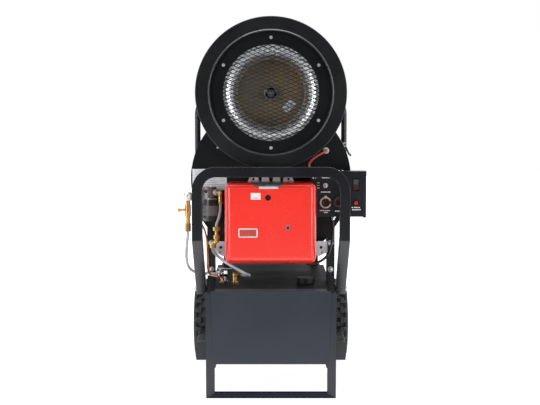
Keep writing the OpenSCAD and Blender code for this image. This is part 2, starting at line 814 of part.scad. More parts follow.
// One backward-curved blade, from the impeller's eye to its rim, let into the plate and ring.
function blade_angle(r) = acos((r * r - pow(blade_arc, 2) - pow(blade_arc + 10, 2))
    / (2 * blade_arc * (blade_arc + 10)));
module impeller_blade() {
    outer = blade_angle(impeller_r - 2);
    step = (blade_angle(eye_r - 8) - outer) / 6;
    along_y(blade_front + 1, blade_back + 1) translate([blade_arc + 10, 0]) polygon(concat(
        [for (i = [0 : 6]) blade_arc * [cos(outer + i * step), sin(outer + i * step)]],
        [for (i = [6 : -1 : 0]) (blade_arc - 2.5) * [cos(outer + i * step), sin(outer + i * step)]]));
}

// Centrifugal impeller: back plate, front ring, backward-curved blades and the hub on its shaft.
module impeller() color("#8c7350") {
    rod_y(impeller_r, blade_back, blade_back + 2.5, 0, fan_z);
    difference() {
        rod_y(impeller_r, blade_front, blade_front + 2, 0, fan_z);
        rod_y(eye_r, blade_front - eps, blade_front + 3, 0, fan_z);
    }
    translate([0, 0, fan_z]) for (i = [0 : blades - 1]) rotate([0, 360 * i / blades, 0])
        impeller_blade();
    rod_y(hub_r, blade_back - 22, blade_back + 6, 0, fan_z);
    rod_y(14, blade_back - 26, blade_back - 22, 0, fan_z);
    rod_y(shaft_r, blade_back + 6, bracket_y + 34, 0, fan_z);
}

module motor_bracket() color("#3a3d41") {
    reach = sqrt(pow(casing_r - 2 - seat, 2) - pow(18, 2));
    difference() {
        union() {
            rod_y(motor_r + 8, bracket_y, bracket_y + 4, 0, fan_z);
            for (a = [90, 210, 330]) rotate_about_fan(a)
                block([motor_r, bracket_y, -18], [reach, bracket_y + 4, 18]);
            for (a = [90, 210, 330]) rotate_about_fan(a)
                block([reach - 3, bracket_y - 22, -18], [reach, bracket_y, 18]);
        }
        rod_y(shaft_r + 8, bracket_y - eps, bracket_y + 5, 0, fan_z);
    }
}

module fan_motor() color("#33373c") {
    front = bracket_y + 4;
    back = front + 190;
    difference() {
        union() {
            rod_y(motor_r - 8, front, back, 0, fan_z);
            for (i = [0 : 23]) rotate_about_fan(15 * i)
                block([motor_r - 10, front + 26, -1.2], [motor_r, back - 46, 1.2]);
            rod_y(motor_r, front, front + 12, 0, fan_z);
            rod_y(motor_r, back - 44, back, 0, fan_z);
            block([-34, front + 50, fan_z + motor_r - 12], [34, front + 120, fan_z + motor_r + 26]);
        }
        rod_y(shaft_r + 0.06, front - eps, front + 40, 0, fan_z);
    }
}

// Burner ----------------------------------------------------------------------

// Cast flange with four lugs along its top edge.
module burner_flange() color("#b4b8bc") {
    lug_low = cover_z + cover_h - 6;
    lug_top = lug_low + 26;
    along_y(flange_front, flange_back) difference() {
        union() {
            translate([cover_x, chamber_z - 4]) round_rect(176, 200, 24);
            polygon([[-74, chamber_z + 80], [74, chamber_z + 80], [92, lug_low + 4], [-92, lug_low + 4]]);
            for (s = [0, 1]) mirror([s, 0]) {
                polygon([[43, lug_low], [92, lug_low], [78, lug_top], [52, lug_top]]);
                polygon([[5, lug_low], [37, lug_low], [34, lug_top], [9, lug_top]]);
            }
        }
        for (s = [-1, 1]) translate([s * 67, lug_top - 12]) circle(r = 5);
        translate([cover_x, chamber_z]) circle(r = blast_r - 8);
    }
}

module blast_tube() color("#6f7275") {
    difference() {
        union() {
            rod_y(blast_r, flange_back, shell_front + 100, cover_x, chamber_z);
            rod_y(blast_r + 28, drum_front - 14, drum_front, cover_x, chamber_z);
        }
        rod_y(blast_r - 3, flange_back + 20, shell_front + 101, cover_x, chamber_z);
        rod_y(blast_r - 20, flange_back - eps, flange_back + 21, cover_x, chamber_z);
        for (a = [45 : 90 : 315]) translate([cover_x, 0, chamber_z]) rotate([0, a, 0])
            rod_y(5, drum_front - 15, drum_front + eps, blast_r + 15, 0);
    }
}

// Cast fan housing, motor, pump and control block under the cover.
module burner_body() color("#5d6166") {
    back = flange_front;
    difference() {
        union() {
            rod_y(104, cover_front + 34, back, cover_x - 20, cover_mid_z + 2);
            block([cover_x - 20, cover_front + 34, cover_mid_z + 30], [cover_x + 84, back, cover_mid_z + 106]);
        }
        rod_y(96, cover_front + 38, back - 20, cover_x - 20, cover_mid_z + 2);
        rod_y(40, cover_front + 33, cover_front + 40, cover_x - 20, cover_mid_z + 2);
    }
    rod_y(48, cover_front + 12, cover_front + 34, cover_x + 40, cover_mid_z - 58);
    rod_y(6, cover_front + 4, cover_front + 12, cover_x + 40, cover_mid_z - 58);
    block([-150, cover_front + 40, cover_mid_z - 96], [-128, back - 20, cover_mid_z - 30]);
    rod_x(22, -134, cover_x - 90, cover_front + 70, cover_mid_z - 62);
    rod_y(4, cover_front - 3, cover_front + 34, screw_x, screw_z);
    difference() {
        block([button_x - 46, cover_front + 12, button_z - 34], [button_x + 46, back - 30, button_z + 22]);
        rod_y(button_r + 0.4, cover_front + 11, cover_front + 24, button_x, button_z);
    }
}

// Section of the cover, rounded at its front corners: depth against half width.
module front_rounded(inset, half, rear) {
    y0 = cover_front + inset;
    r = cover_r - inset;
    translate([y0 + r, -half]) square([rear - y0 - r, 2 * half]);
    translate([y0, r - half]) square([rear - y0, 2 * (half - r)]);
    for (s = [-1, 1]) translate([y0 + r, s * (half - r)]) circle(r = r);
}

// Deep-drawn hood with rounded edges, drawn in by inset for its hollow.
module cover_form(inset) {
    half_w = cover_w / 2 - inset;
    half_h = cover_h / 2 - inset;
    rear = cover_back + (inset > 0 ? 1 : 0);
    translate([cover_x, 0, cover_mid_z]) intersection() {
        along_y(cover_front + inset, rear) round_rect(2 * half_w, 2 * half_h, cover_r - inset);
        along_x(-half_w, half_w) front_rounded(inset, half_h, rear);
        translate([0, 0, -half_h]) linear_extrude(2 * half_h) rotate(90)
            front_rounded(inset, half_w, rear);
    }
}

module burner_cover() color("#e0403a") {
    difference() {
        cover_form(0);
        cover_form(cover_t);
        rod_y(11, cover_front - eps, cover_front + 10, button_x, button_z);
        rod_y(4.6, cover_front - eps, cover_front + 10, screw_x, screw_z);
    }
    // Hem bead along the lower edge of the front, on the rounded edge's surface.
    hem = 15;
    hem_y = cover_front + cover_r - sqrt(pow(cover_r, 2) - pow(cover_r - hem, 2));
    rod_x(1.6, cover_x - cover_w / 2 + cover_r + 6, cover_x + cover_w / 2 - cover_r - 6,
        hem_y + 0.4, cover_z + hem);
}

module cover_screw() color("#b6b09a") {
    difference() {
        union() {
            rod_y(9, cover_front - 1.6, cover_front, screw_x, screw_z);
            rod_y(5.6, cover_front - 6, cover_front - 1.6, screw_x, screw_z);
        }
        rod_y(4, cover_front - 3, cover_front + eps, screw_x, screw_z);
        block([screw_x - 6, cover_front - 7, screw_z - 0.8], [screw_x + 6, cover_front - 4.8, screw_z + 0.8]);
    }
}

// Framed louvre on the cover's lower left.
module cover_vent() color("#a9adb1") {
    x0 = -123;
    x1 = -50;
    z0 = 598;
    z1 = 633;
    along_y(cover_front - 3, cover_front) difference() {
        translate([(x0 + x1) / 2, (z0 + z1) / 2]) round_rect(x1 - x0, z1 - z0, 5);
        translate([(x0 + x1) / 2, (z0 + z1) / 2]) round_rect(x1 - x0 - 10, z1 - z0 - 10, 2);
    }
    for (i = [1 : 11]) block([x0 + 4 + i * 5.4, cover_front - 2, z0 + 5], [x0 + 6 + i * 5.4, cover_front, z1 - 5]);
}

// Folded plates from the flange to the front posts.
module burner_brackets() color("#d4d7da") {
    low = 512;
    high = 570;
    both_sides() difference() {
        union() {
            along_y(flange_back, flange_back + 3) polygon([[70, low + 42], [150, low + 8], [188, low],
                [post_in, low + 16], [post_in, high], [176, high], [150, high + 24], [70, high + 60]]);
            block([post_in - 3, flange_back, low + 16], [post_in, post_front + 20, high]);
        }
        rod_y(6, flange_back - eps, flange_back + 4, 194, low + 34);
        rod_y(3, flange_back - eps, flange_back + 4, 197, low + 15);
        rod_y(blast_r + 30, flange_back - eps, flange_back + 4, cover_x, chamber_z);
    }
}

module burner_reset() color("#c23a2f") {
    rod_y(button_r, cover_front + 2, cover_front + 20, button_x, button_z);
}

// Control box -----------------------------------------------------------------

module box_plane(x0, x1, z0, z1) {
    translate([x0, z0]) square([x1 - x0, z1 - z0]);
}

module control_box() color("#1b1e22") {
    difference() {
        block([box_left, lid_back, box_z], [box_right, box_back, box_top]);
        block([box_left + box_t, lid_back - eps, box_z + box_t],
            [box_right - box_t, box_back - box_t, box_top - box_t]);
        rod_z(9, box_z - eps, box_z + box_t + eps, gland_x, gland_y);
        rod_z(6, box_top - box_t - eps, box_top + eps, 166, gland_y);
    }
}

module box_lid() color("#1a1d22") {
    difference() {
        union() {
            along_y(box_front, lid_back) box_plane(box_left, box_right, box_z, box_top);
            block([box_right - 12, box_front - 3, box_z - 3], [box_right, box_front, box_top]);
        }
        block([rocker_x - rocker_w / 2 - 0.6, box_front - eps, rocker_z - rocker_h / 2 - 2.6],
            [rocker_x + rocker_w / 2 + 0.6, lid_back + eps, rocker_z + rocker_h / 2 + 2.6]);
        rod_y(push_button_r + 0.5, box_front - eps, lid_back + eps, push_x, push_z);
        rod_y(6, box_front - eps, lid_back + eps, toggle_x, toggle_z);
        for (s = [socket_a, socket_b])
            rod_y(s[2] - 6, box_front - eps, lid_back + eps, s[0], s[1]);
    }
    for (x = [box_left + 48, box_left + 62]) rod_y(4, box_front - 2, box_front, x, box_top - 6);
}

// Rocker that tips about a pin along X: two faces that meet in a shallow valley.
module rocker_switch() color("#1e3b30") {
    half = rocker_h / 2;
    translate([0, lid_back + 3, rocker_z])
        along_x(rocker_x - rocker_w / 2, rocker_x + rocker_w / 2) polygon([[-9.5, half], [-6, 0],
            [-9.5, -half], [2, -half + 2], [8, -8], [8, 8], [2, half - 2]]);
}

module reset_button() color("#c4302b") {
    rod_y(push_button_r, box_front - 9, lid_back + 6, push_x, push_z);
    rod_y(push_button_r + 2.4, lid_back + seat, lid_back + 2 + seat, push_x, push_z);
}

module toggle_lever() color("#c5c8cb") {
    translate([toggle_x, toggle_y, toggle_z]) {
        sphere(r = 4.4);
        rotate([90, 0, 0]) cylinder(r1 = 2.2, r2 = 3.2, h = 20);
        translate([0, -20, 0]) sphere(r = 3.2);
    }
}

// Nuts, bezels and round sockets that sit in the lid.
module panel_fittings() color("#b9b39c") {
    difference() {
        union() {
            along_y(box_front - 5, box_front) translate([toggle_x, toggle_z]) hexagon(18);
            rod_y(6, box_front, lid_back + 10, toggle_x, toggle_z);
        }
        rod_y(4.7, box_front - 6, lid_back + 4, toggle_x, toggle_z);
    }
    difference() {
        rod_y(11.5, box_front - 5, box_front, push_x, push_z);
        rod_y(push_button_r + 0.5, box_front - 6, box_front + eps, push_x, push_z);
    }
    for (s = [socket_a, socket_b]) difference() {
        union() {
            rod_y(s[2], box_front - 7, box_front, s[0], s[1]);
            block([s[0] - 5, box_front - 7, s[1] + s[2] - 3], [s[0] + 5, box_front, s[1] + s[2] + 4]);
            rod_y(s[2] - 6, box_front, lid_back + 14, s[0], s[1]);
        }
        rod_y(s[2] - 7.5, box_front - 8, lid_back + 4, s[0], s[1]);
    }
    difference() {
        block([rocker_x - rocker_w / 2 - 3, box_front - 1.6, rocker_z - rocker_h / 2 - 5],
            [rocker_x + rocker_w / 2 + 3, box_front, rocker_z + rocker_h / 2 + 5]);
        block([rocker_x - rocker_w / 2 - 0.6, box_front - 3, rocker_z - rocker_h / 2 - 2.6],
            [rocker_x + rocker_w / 2 + 0.6, box_front + eps, rocker_z + rocker_h / 2 + 2.6]);
    }
}

module box_gland() color("#9da0a3") {
    difference() {
        union() {
            translate([gland_x, gland_y, box_z - 6]) linear_extrude(6) hexagon(22);
            rod_z(8.6, box_z - 14, box_z - 6, gland_x, gland_y);
            rod_z(8.6, box_z, box_z + 8, gland_x, gland_y);
        }
        rod_z(5.4, box_z - 15, box_z + 9, gland_x, gland_y);
    }
}

module burner_cable() color("#1a1b1d") {
    tube_along(CABLE_BURNER, 5, 8, 3);
}

module wire_gland() color("#d8dadc") {
    difference() {
        union() {
            rod_y(12, drum_front - 7, drum_front, wire_gland[0], wire_gland[1]);
            rod_y(9, drum_front - 14, drum_front - 7, wire_gland[0], wire_gland[1]);
        }
        rod_y(5.4, drum_front - 15, drum_front - 2, wire_gland[0], wire_gland[1]);
    }
}

module red_wire() color("#c8524a") {
    tube_along(WIRE_RED, 4.6, 8, 3);
}

module label_plate() color("#dfe4ee") {
    along_y(drum_front - 0.8, drum_front) translate([0, drum_z]) {
        translate([-306, -41]) square([134, 82]);
        translate([-277, -116]) square([15, 80]);
    }
}

// Fuel line -------------------------------------------------------------------

module filter_head() color("#bfc3c7") {
    difference() {
        union() {
            rod_z(27, head_z, head_z + head_h, filter_x - 8, filter_y);
            block([filter_x - 34, filter_y - 20, head_z + 8], [filter_x + 24, filter_y + 20, head_z + head_h - 8]);
            rod_z(34, head_z - 6, head_z, filter_x, filter_y);
            block([filter_x - 16, filter_y + 18, head_z + 2], [filter_x + 14, drum_front - 0.8, head_z + 24]);
        }
        rod_y(7, filter_y - 40, filter_y - 14, filter_x - 20, head_z + 26);
    }
}

module filter_canister() color("#303235") {
    low = 650;
    rod_z(36, head_z - 22, head_z - 6, filter_x, filter_y);
    rod_z(40, low + 12, head_z - 22, filter_x, filter_y);
    translate([filter_x, filter_y, low]) cylinder(r1 = 30, r2 = 40, h = 12);
    difference() {
        rod_z(41, low + 16, low + 20, filter_x, filter_y);
        rod_z(40, low + 15, low + 21, filter_x, filter_y);
    }
}

module nut_z(across, z0, z1, x, y) {
    translate([x, y, z0]) linear_extrude(z1 - z0) hexagon(across);
}

module brass_fittings() color("#c9a63c") {
    // Elbows that lead the filter head's outlet forward and down to the hose.
    port = HOSE_UPPER[0];
    port_z = head_z + 19;
    rod_x(8, filter_x + 24, port[0], filter_y - 12, port_z);
    translate([port[0], filter_y - 12, port_z]) sphere(r = 9);
    rod_y(8, port[1], filter_y - 12, port[0], port_z);
    translate([port[0], port[1], port_z]) sphere(r = 9);
    rod_z(8, port[2] + 7, port_z, port[0], port[1]);
    nut_z(20, port[2] + seat, port[2] + 7, port[0], port[1]);
    // Union and elbow between the two hoses.
    top = HOSE_UPPER[5];
    low = HOSE_LOWER[0];
    nut_z(24, top[2] - 14, top[2] - seat, top[0], top[1]);
    rod_z(7, top[2] - 32, top[2] - 14, top[0], top[1]);
    nut_z(20, top[2] - 46, top[2] - 32, top[0], top[1]);
    translate([top[0], top[1], top[2] - 52]) sphere(r = 10);
    translate([top[0], top[1], top[2] - 52]) rotate([0, 220, 0]) cylinder(r = 8, h = 18);
    translate([low[0], low[1], low[2] + 17]) sphere(r = 9);
    nut_z(20, low[2] + seat, low[2] + 17, low[0], low[1]);
    // Outlet elbow on the tank.
    rod_x(8, outlet_x, outlet_x + 8, outlet_y, outlet_z);
    along_x(outlet_x + 8, HOSE_LOWER[len(HOSE_LOWER) - 1][0] - seat) translate([outlet_y, outlet_z]) hexagon(20);
    translate([outlet_x, outlet_y, outlet_z]) sphere(r = 10);
    rod_z(9, tank_top + 10, outlet_z, outlet_x, outlet_y);
    nut_z(26, tank_top, tank_top + 10, outlet_x, outlet_y);
    // Nut of the return pipe.
    foot = PIPE_RETURN[len(PIPE_RETURN) - 1];
    nut_z(16, tank_top, foot[2] - seat, foot[0], foot[1]);
}

module fuel_hoses() color("#c9ced6") {
    tube_along(HOSE_UPPER, 5.5, 8, 3);
    tube_along(HOSE_LOWER, 6, 8, 3);
    tube_along(HOSE_VENT, 5.5, 8, 3);
}

module return_pipe() color("#a5673f") {
    tube_along(PIPE_RETURN, 4, 8, 2);
}

// Air vent beside the hoop: brass tee with a bright domed cap.
module vent_body() color("#c79a4a") {
    top = head_z + 19;
    rod_x(6, vent_x, filter_x - 35 - seat, vent_y, top - 12);
    rod_z(9, 640, top - 18, vent_x, vent_y);
    rod_z(12, 668, 712, vent_x, vent_y);
    rod_x(6, vent_x - 28, vent_x, vent_y, 692);
    rod_x(9, vent_x - 38, vent_x - 28, vent_y, 692);
    nut_z(20, HOSE_VENT[0][2] + seat, 640, vent_x, vent_y);
    translate([vent_x, vent_y, top - 14]) {
        cylinder(r = 16, h = 4);
        translate([0, 0, -10]) cylinder(r1 = 9, r2 = 16, h = 10);
        translate([0, 0, 4]) intersection() {
            sphere(r = 16);
            cylinder(r = 17, h = 17);
        }
    }
}

// Shut-off valve on the tank with a pipe toward the vent hose.
module valve_body() color("#d0d2d4") {
    rod_x(5.5, HOSE_VENT[7][0] + 3, valve_x - 14, valve_y, valve_z);
    along_x(valve_x - 14, valve_x - 6) translate([valve_y, valve_z]) hexagon(18);
    along_x(HOSE_VENT[7][0] + seat, HOSE_VENT[7][0] + 12) translate([valve_y, valve_z]) hexagon(16);
    difference() {
        translate([valve_x, valve_y, valve_z]) sphere(r = 13);
        rod_z(14, valve_z + 9, valve_z + 16, valve_x, valve_y);
    }
    rod_x(9, valve_x, valve_x + 20, valve_y, valve_z);
    along_x(valve_x + 16, valve_x + 30) translate([valve_y, valve_z]) hexagon(24);
    rod_z(8, tank_top + 8, valve_z, valve_x + 23, valve_y);
    nut_z(22, tank_top, tank_top + 8, valve_x + 23, valve_y);
}

module valve_lever() color("#c7c9cc") {
    z = valve_z + 9 + seat;
    rod_z(5, z, z + 12, valve_x, valve_y);
    rod_z(8, z + 9, z + 12, valve_x, valve_y);
    block([valve_x, valve_y - 5, z + 9], [valve_x + 48, valve_y + 5, z + 12]);
}

// Toggle latches that hold the front plate to the drum ---------------------------

module at_latch(side) {
    translate([0, latch_y[side], drum_z]) rotate([0, -latch_turn[side], 0]) translate([drum_r, 0, 0]) children();
}

module latch_base(side) {
    at_latch(side) difference() {
        union() {
            block([seat, -14, -20], [3, 14, 20]);
            for (s = [-1, 1]) block([1, s * 12 - 2, -8], [latch_rise + 5, s * 12 + 2, 8]);
        }
        translate([latch_rise, 0, 0]) rotate([90, 0, 0]) cylinder(r = 3, h = 40, center = true);
    }
}
module latch_bases() color("#c2c5c8") {
    latch_base(0);
    mirror([1, 0, 0]) latch_base(1);
}

module latch(side) {
    at_latch(side) {
        translate([latch_rise, 0, 0]) rotate([90, 0, 0]) cylinder(r = 2.95, h = 28, center = true);
        block([latch_rise - 3, -9.5, -42], [latch_rise + 3, 9.5, 4]);
        block([latch_rise, -9.5, -50], [latch_rise + 6, 9.5, -40]);
    }
}
module latch_right() color("#1d1f22") latch(0);
module latch_left() color("#1d1f22") mirror([1, 0, 0]) latch(1);

foot_loop();
base_frame();
drum_cradle();
front_hoop();
push_hoop();
frame_bolts();
axle();
tyre_left();
tyre_right();
rim_left();
rim_right();
axle_nuts();
tank_shell();
tank_front_panel();
tank_cap();
drum_shell();
drum_front_plate();
outlet_cone();
combustion_chamber();
heat_exchanger();
flue_spigot();
fan_casing();
inlet_ring();
fan_guard();
guard_screws();
inlet_cone();
air_hood();
impeller();
fan_motor();
motor_bracket();
burner_flange();
blast_tube();
burner_body();
burner_cover();
cover_screw();
cover_vent();
burner_brackets();
burner_reset();
control_box();
box_lid();
rocker_switch();
reset_button();
toggle_lever();
panel_fittings();
box_gland();
burner_cable();
wire_gland();
red_wire();
filter_head();
filter_canister();
brass_fittings();
fuel_hoses();
return_pipe();
vent_body();
valve_body();
valve_lever();
latch_bases();
latch_right();
latch_left();
label_plate();
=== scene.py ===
import math
import random

import bmesh
import bpy
from mathutils import Matrix, Vector


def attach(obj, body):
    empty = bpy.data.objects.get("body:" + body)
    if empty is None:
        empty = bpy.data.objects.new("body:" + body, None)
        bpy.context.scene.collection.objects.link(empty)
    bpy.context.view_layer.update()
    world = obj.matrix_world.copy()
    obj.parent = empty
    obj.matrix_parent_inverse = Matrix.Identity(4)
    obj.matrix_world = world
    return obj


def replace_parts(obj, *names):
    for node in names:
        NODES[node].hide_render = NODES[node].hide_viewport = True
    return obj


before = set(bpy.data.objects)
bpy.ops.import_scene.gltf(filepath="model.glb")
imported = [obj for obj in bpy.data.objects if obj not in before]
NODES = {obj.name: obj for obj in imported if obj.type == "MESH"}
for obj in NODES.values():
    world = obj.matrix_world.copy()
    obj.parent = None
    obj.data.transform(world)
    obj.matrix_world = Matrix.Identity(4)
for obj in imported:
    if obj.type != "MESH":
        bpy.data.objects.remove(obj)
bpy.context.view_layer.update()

# Portable indirect oil-fired air heater. Metres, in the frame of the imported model:
# +Z up, +X to the right of the burner end, +Y back to the warm-air outlet.
MM = 0.001
FAN_Z = 1.139            # height of the fan's axis
DRUM_Z = 0.806           # height of the drum's axis
DRUM_OUT = 0.3118        # just inside the drum's outer face
WHEEL = (0.276, 0.632, 0.175)    # middle of the right wheel
SOCKETS = ((210, 721), (257, 722))    # centres of the box's two sockets, as X and Z in millimetres
CANISTER = (-0.229, 0.172)       # axis of the filter canister, as X and Y
TO_FRONT = (0, -1, 0)
scene = bpy.context.scene
random.seed(7)


# Camera ------------------------------------------------------------------------------------

def place_camera():
    """A standing eye before the burner end, tipped a little down."""
    data = bpy.data.cameras.new("camera")
    data.sensor_width = 36.0
    data.lens = 71.467
    camera = bpy.data.objects.new("camera", data)
    scene.collection.objects.link(camera)
    camera.location = (-0.0037, -3.950, 1.068)
    camera.rotation_euler = (math.radians(90 - 4.825), 0, 0)
    scene.camera = camera


place_camera()


# Shader building ---------------------------------------------------------------------------

class Graph:
    """Adds nodes to a node tree; a socket's value is a number, a colour or another node's output."""

    def __init__(self, tree):
        self.tree = tree

    def add(self, kind, sockets=(), **settings):
        node = self.tree.nodes.new(kind)
        for key, value in settings.items():
            setattr(node, key, value)
        for key, value in dict(sockets).items():
            if isinstance(value, bpy.types.NodeSocket):
                self.tree.links.new(value, node.inputs[key])
            else:
                node.inputs[key].default_value = value
        return node

    def math(self, operation, a, b=0.0, clamp=False):
        return self.add("ShaderNodeMath", {0: a, 1: b}, operation=operation, use_clamp=clamp).outputs[0]

    def noise(self, vector, scale, detail=3.0, rough=0.5, distortion=0.0):
        return self.add("ShaderNodeTexNoise", {"Vector": vector, "Scale": scale, "Detail": detail,
                        "Roughness": rough, "Distortion": distortion}).outputs["Fac"]

    def stretched(self, vector, scale):
        return self.add("ShaderNodeMapping", {"Vector": vector, "Scale": scale}).outputs[0]

    def ramp(self, value, low, high, start=0.0, end=1.0):
        return self.add("ShaderNodeMapRange", {"Value": value, "From Min": low, "From Max": high,
                        "To Min": start, "To Max": end}).outputs[0]

    def blend(self, fac, a, b):
        return self.add("ShaderNodeMix", {0: fac, 6: a, 7: b}, data_type="RGBA").outputs[2]

    def times(self, a, b, clamp=False):
        return self.math("MULTIPLY", a, b, clamp)

    def place(self):
        return self.add("ShaderNodeTexCoord").outputs["Object"]


def effect(name, inputs, outputs):
    """An empty node group: returns its graph, the sockets to read and a function that sets an output."""
    tree = bpy.data.node_groups.new(name, "ShaderNodeTree")
    for label, start in inputs.items():
        socket = tree.interface.new_socket(label, in_out="INPUT", socket_type="NodeSocketFloat")
        socket.default_value = start
    for label, kind in outputs.items():
        tree.interface.new_socket(label, in_out="OUTPUT", socket_type=kind)
    source = tree.nodes.new("NodeGroupInput")
    sink = tree.nodes.new("NodeGroupOutput")
    return Graph(tree), source.outputs, lambda label, value: tree.links.new(value, sink.inputs[label])


def make_edges():
    """Rounds sharp edges by a radius and finds where handling has rubbed them."""
    g, at, out = effect("worn edges", {"Radius": 0.0015, "Wear": 0.5, "Break up": 60.0},
                        {"Normal": "NodeSocketVector", "Mask": "NodeSocketFloat"})
    bevel = g.add("ShaderNodeBevel", {"Radius": at["Radius"]}, samples=5).outputs[0]
    flat = g.add("ShaderNodeNewGeometry").outputs["Normal"]
    along = g.add("ShaderNodeVectorMath", {0: bevel, 1: flat}, operation="DOT_PRODUCT").outputs["Value"]
    turned = g.math("SUBTRACT", 1.0, along, clamp=True)
    place = g.place()
    patch = g.ramp(g.noise(place, at["Break up"], 4.0, 0.6), 0.45, 0.7)
    mask = g.times(g.times(g.ramp(turned, 0.02, 0.22), patch), at["Wear"], clamp=True)
    out("Normal", bevel)
    out("Mask", mask)
    return g.tree


def make_tone():
    """Slow changes of shade over a surface, with a little fine dust in them."""
    g, at, out = effect("surface tone", {"Size": 4.0, "Dust": 0.5},
                        {"Tone": "NodeSocketFloat", "Dust": "NodeSocketFloat"})
    place = g.place()
    out("Tone", g.ramp(g.noise(place, at["Size"], 4.0, 0.55), 0.3, 0.7))
    up = g.add("ShaderNodeSeparateXYZ", {0: g.add("ShaderNodeNewGeometry").outputs["Normal"]}).outputs["Z"]
    lying = g.ramp(up, 0.2, 1.0, 0.15, 1.0)
    specks = g.ramp(g.noise(place, 210.0, 5.0, 0.7), 0.5, 0.75)
    cloud = g.ramp(g.noise(place, 9.0, 3.0), 0.35, 0.7)
    out("Dust", g.times(g.times(g.times(specks, cloud), lying), at["Dust"], clamp=True))
    return g.tree


def make_peel():
    """The fine ripple of sprayed and baked paint or moulded plastic."""
    g, at, out = effect("paint ripple", {"Size": 420.0}, {"Height": "NodeSocketFloat"})
    place = g.place()
    coarse = g.noise(place, at["Size"], 2.0, 0.4)
    fine = g.noise(place, g.times(at["Size"], 4.0), 2.0, 0.5)
    out("Height", g.math("ADD", coarse, g.times(fine, 0.25)))
    return g.tree


def make_scuffs():
    """Short thin scratches that run in two directions."""
    g, at, out = effect("scuffs", {"Amount": 0.5}, {"Mask": "NodeSocketFloat"})
    place = g.place()
    lines = []
    for stretch, turn in (((12, 340, 320), 0.35), ((300, 290, 9), -0.5)):
        turned = g.add("ShaderNodeMapping", {
            "Vector": place, "Rotation": (turn, turn * 0.7, turn), "Scale": stretch})
        lines.append(g.ramp(g.noise(turned.outputs[0], 1.0, 2.0, 0.6), 0.66, 0.76))
    both = g.math("MAXIMUM", lines[0], lines[1])
    region = g.ramp(g.noise(place, 6.0, 2.0), 0.45, 0.65)
    out("Mask", g.times(g.times(both, region), at["Amount"], clamp=True))
    return g.tree


def make_grain():
    """Fine lines left by rolling, drawing or turning, along the vector that is least stretched."""
    g, at, out = effect("metal grain", {"Fine": 1.0},
                        {"Value": "NodeSocketFloat", "Height": "NodeSocketFloat"})
    place = g.place()
    long = g.noise(g.stretched(place, (30, 500, 900)), at["Fine"], 3.0, 0.6)
    spots = g.noise(place, 38.0, 4.0, 0.6)
    out("Value", g.math("ADD", g.times(long, 0.6), g.times(spots, 0.4)))
    out("Height", long)
    return g.tree


def make_cast():
    """The pebbled skin of a sand casting or moulded rubber."""
    g, at, out = effect("cast skin", {"Size": 260.0},
                        {"Height": "NodeSocketFloat", "Pits": "NodeSocketFloat"})
    place = g.place()
    grains = g.add("ShaderNodeTexVoronoi", {"Vector": place, "Scale": at["Size"]}).outputs["Distance"]
    lumps = g.noise(place, g.times(at["Size"], 0.3), 4.0, 0.65)
    out("Height", g.math("ADD", g.times(grains, 0.5), lumps))
    out("Pits", g.ramp(lumps, 0.36, 0.5, 1.0, 0.0))
    return g.tree


def make_spangle():
    """The feathered crystals of hot-dip zinc."""
    g, at, out = effect("zinc spangle", {"Size": 60.0}, {"Value": "NodeSocketFloat"})
    place = g.place()
    warped = g.add("ShaderNodeVectorMath", {0: place, 1: g.add("ShaderNodeVectorMath", {
        0: g.add("ShaderNodeTexNoise", {"Vector": place, "Scale": 90.0}).outputs["Color"], 3: 0.012},
        operation="SCALE").outputs[0]}, operation="ADD").outputs[0]
    cells = g.add("ShaderNodeTexVoronoi", {"Vector": warped, "Scale": at["Size"]}).outputs["Color"]
    out("Value", g.add("ShaderNodeSeparateColor", {0: cells}).outputs[0])
    return g.tree


EDGES, TONE, PEEL, SCUFFS = make_edges(), make_tone(), make_peel(), make_scuffs()
GRAIN, CAST, SPANGLE = make_grain(), make_cast(), make_spangle()


class Finish(Graph):
    """A material with one Principled shader, to which the effects add colour, roughness and relief."""

    def __init__(self, name, roughness, metallic=0.0, **plain):
        self.material = bpy.data.materials.new(name)
        self.material.use_nodes = True
        super().__init__(self.material.node_tree)
        self.shader = self.tree.nodes["Principled BSDF"]
        self.shader.inputs["Metallic"].default_value = metallic
        self.shader.inputs["Roughness"].default_value = roughness
        for key, value in plain.items():
            self.shader.inputs[key.replace("_", " ")].default_value = value

    def use(self, group, **values):
        node = self.tree.nodes.new("ShaderNodeGroup")
        node.node_tree = group
        for key, value in values.items():
            node.inputs[key.replace("_", " ")].default_value = value
        return node.outputs

    def finish(self, color, rough, height, strength, distance, edges):
        """Feeds the shader, with relief over the softened edges, and gives the material."""
        bump = self.add("ShaderNodeBump", {"Height": height, "Strength": strength, "Distance": distance,
                                           "Normal": edges["Normal"]}).outputs[0]
        for key, value in (("Base Color", color), ("Roughness", rough), ("Normal", bump)):
            self.tree.links.new(value, self.shader.inputs[key])
        return self.material


def shade(color, factor):
    return tuple(min(1.0, c * factor) for c in color[:3]) + (1.0,)


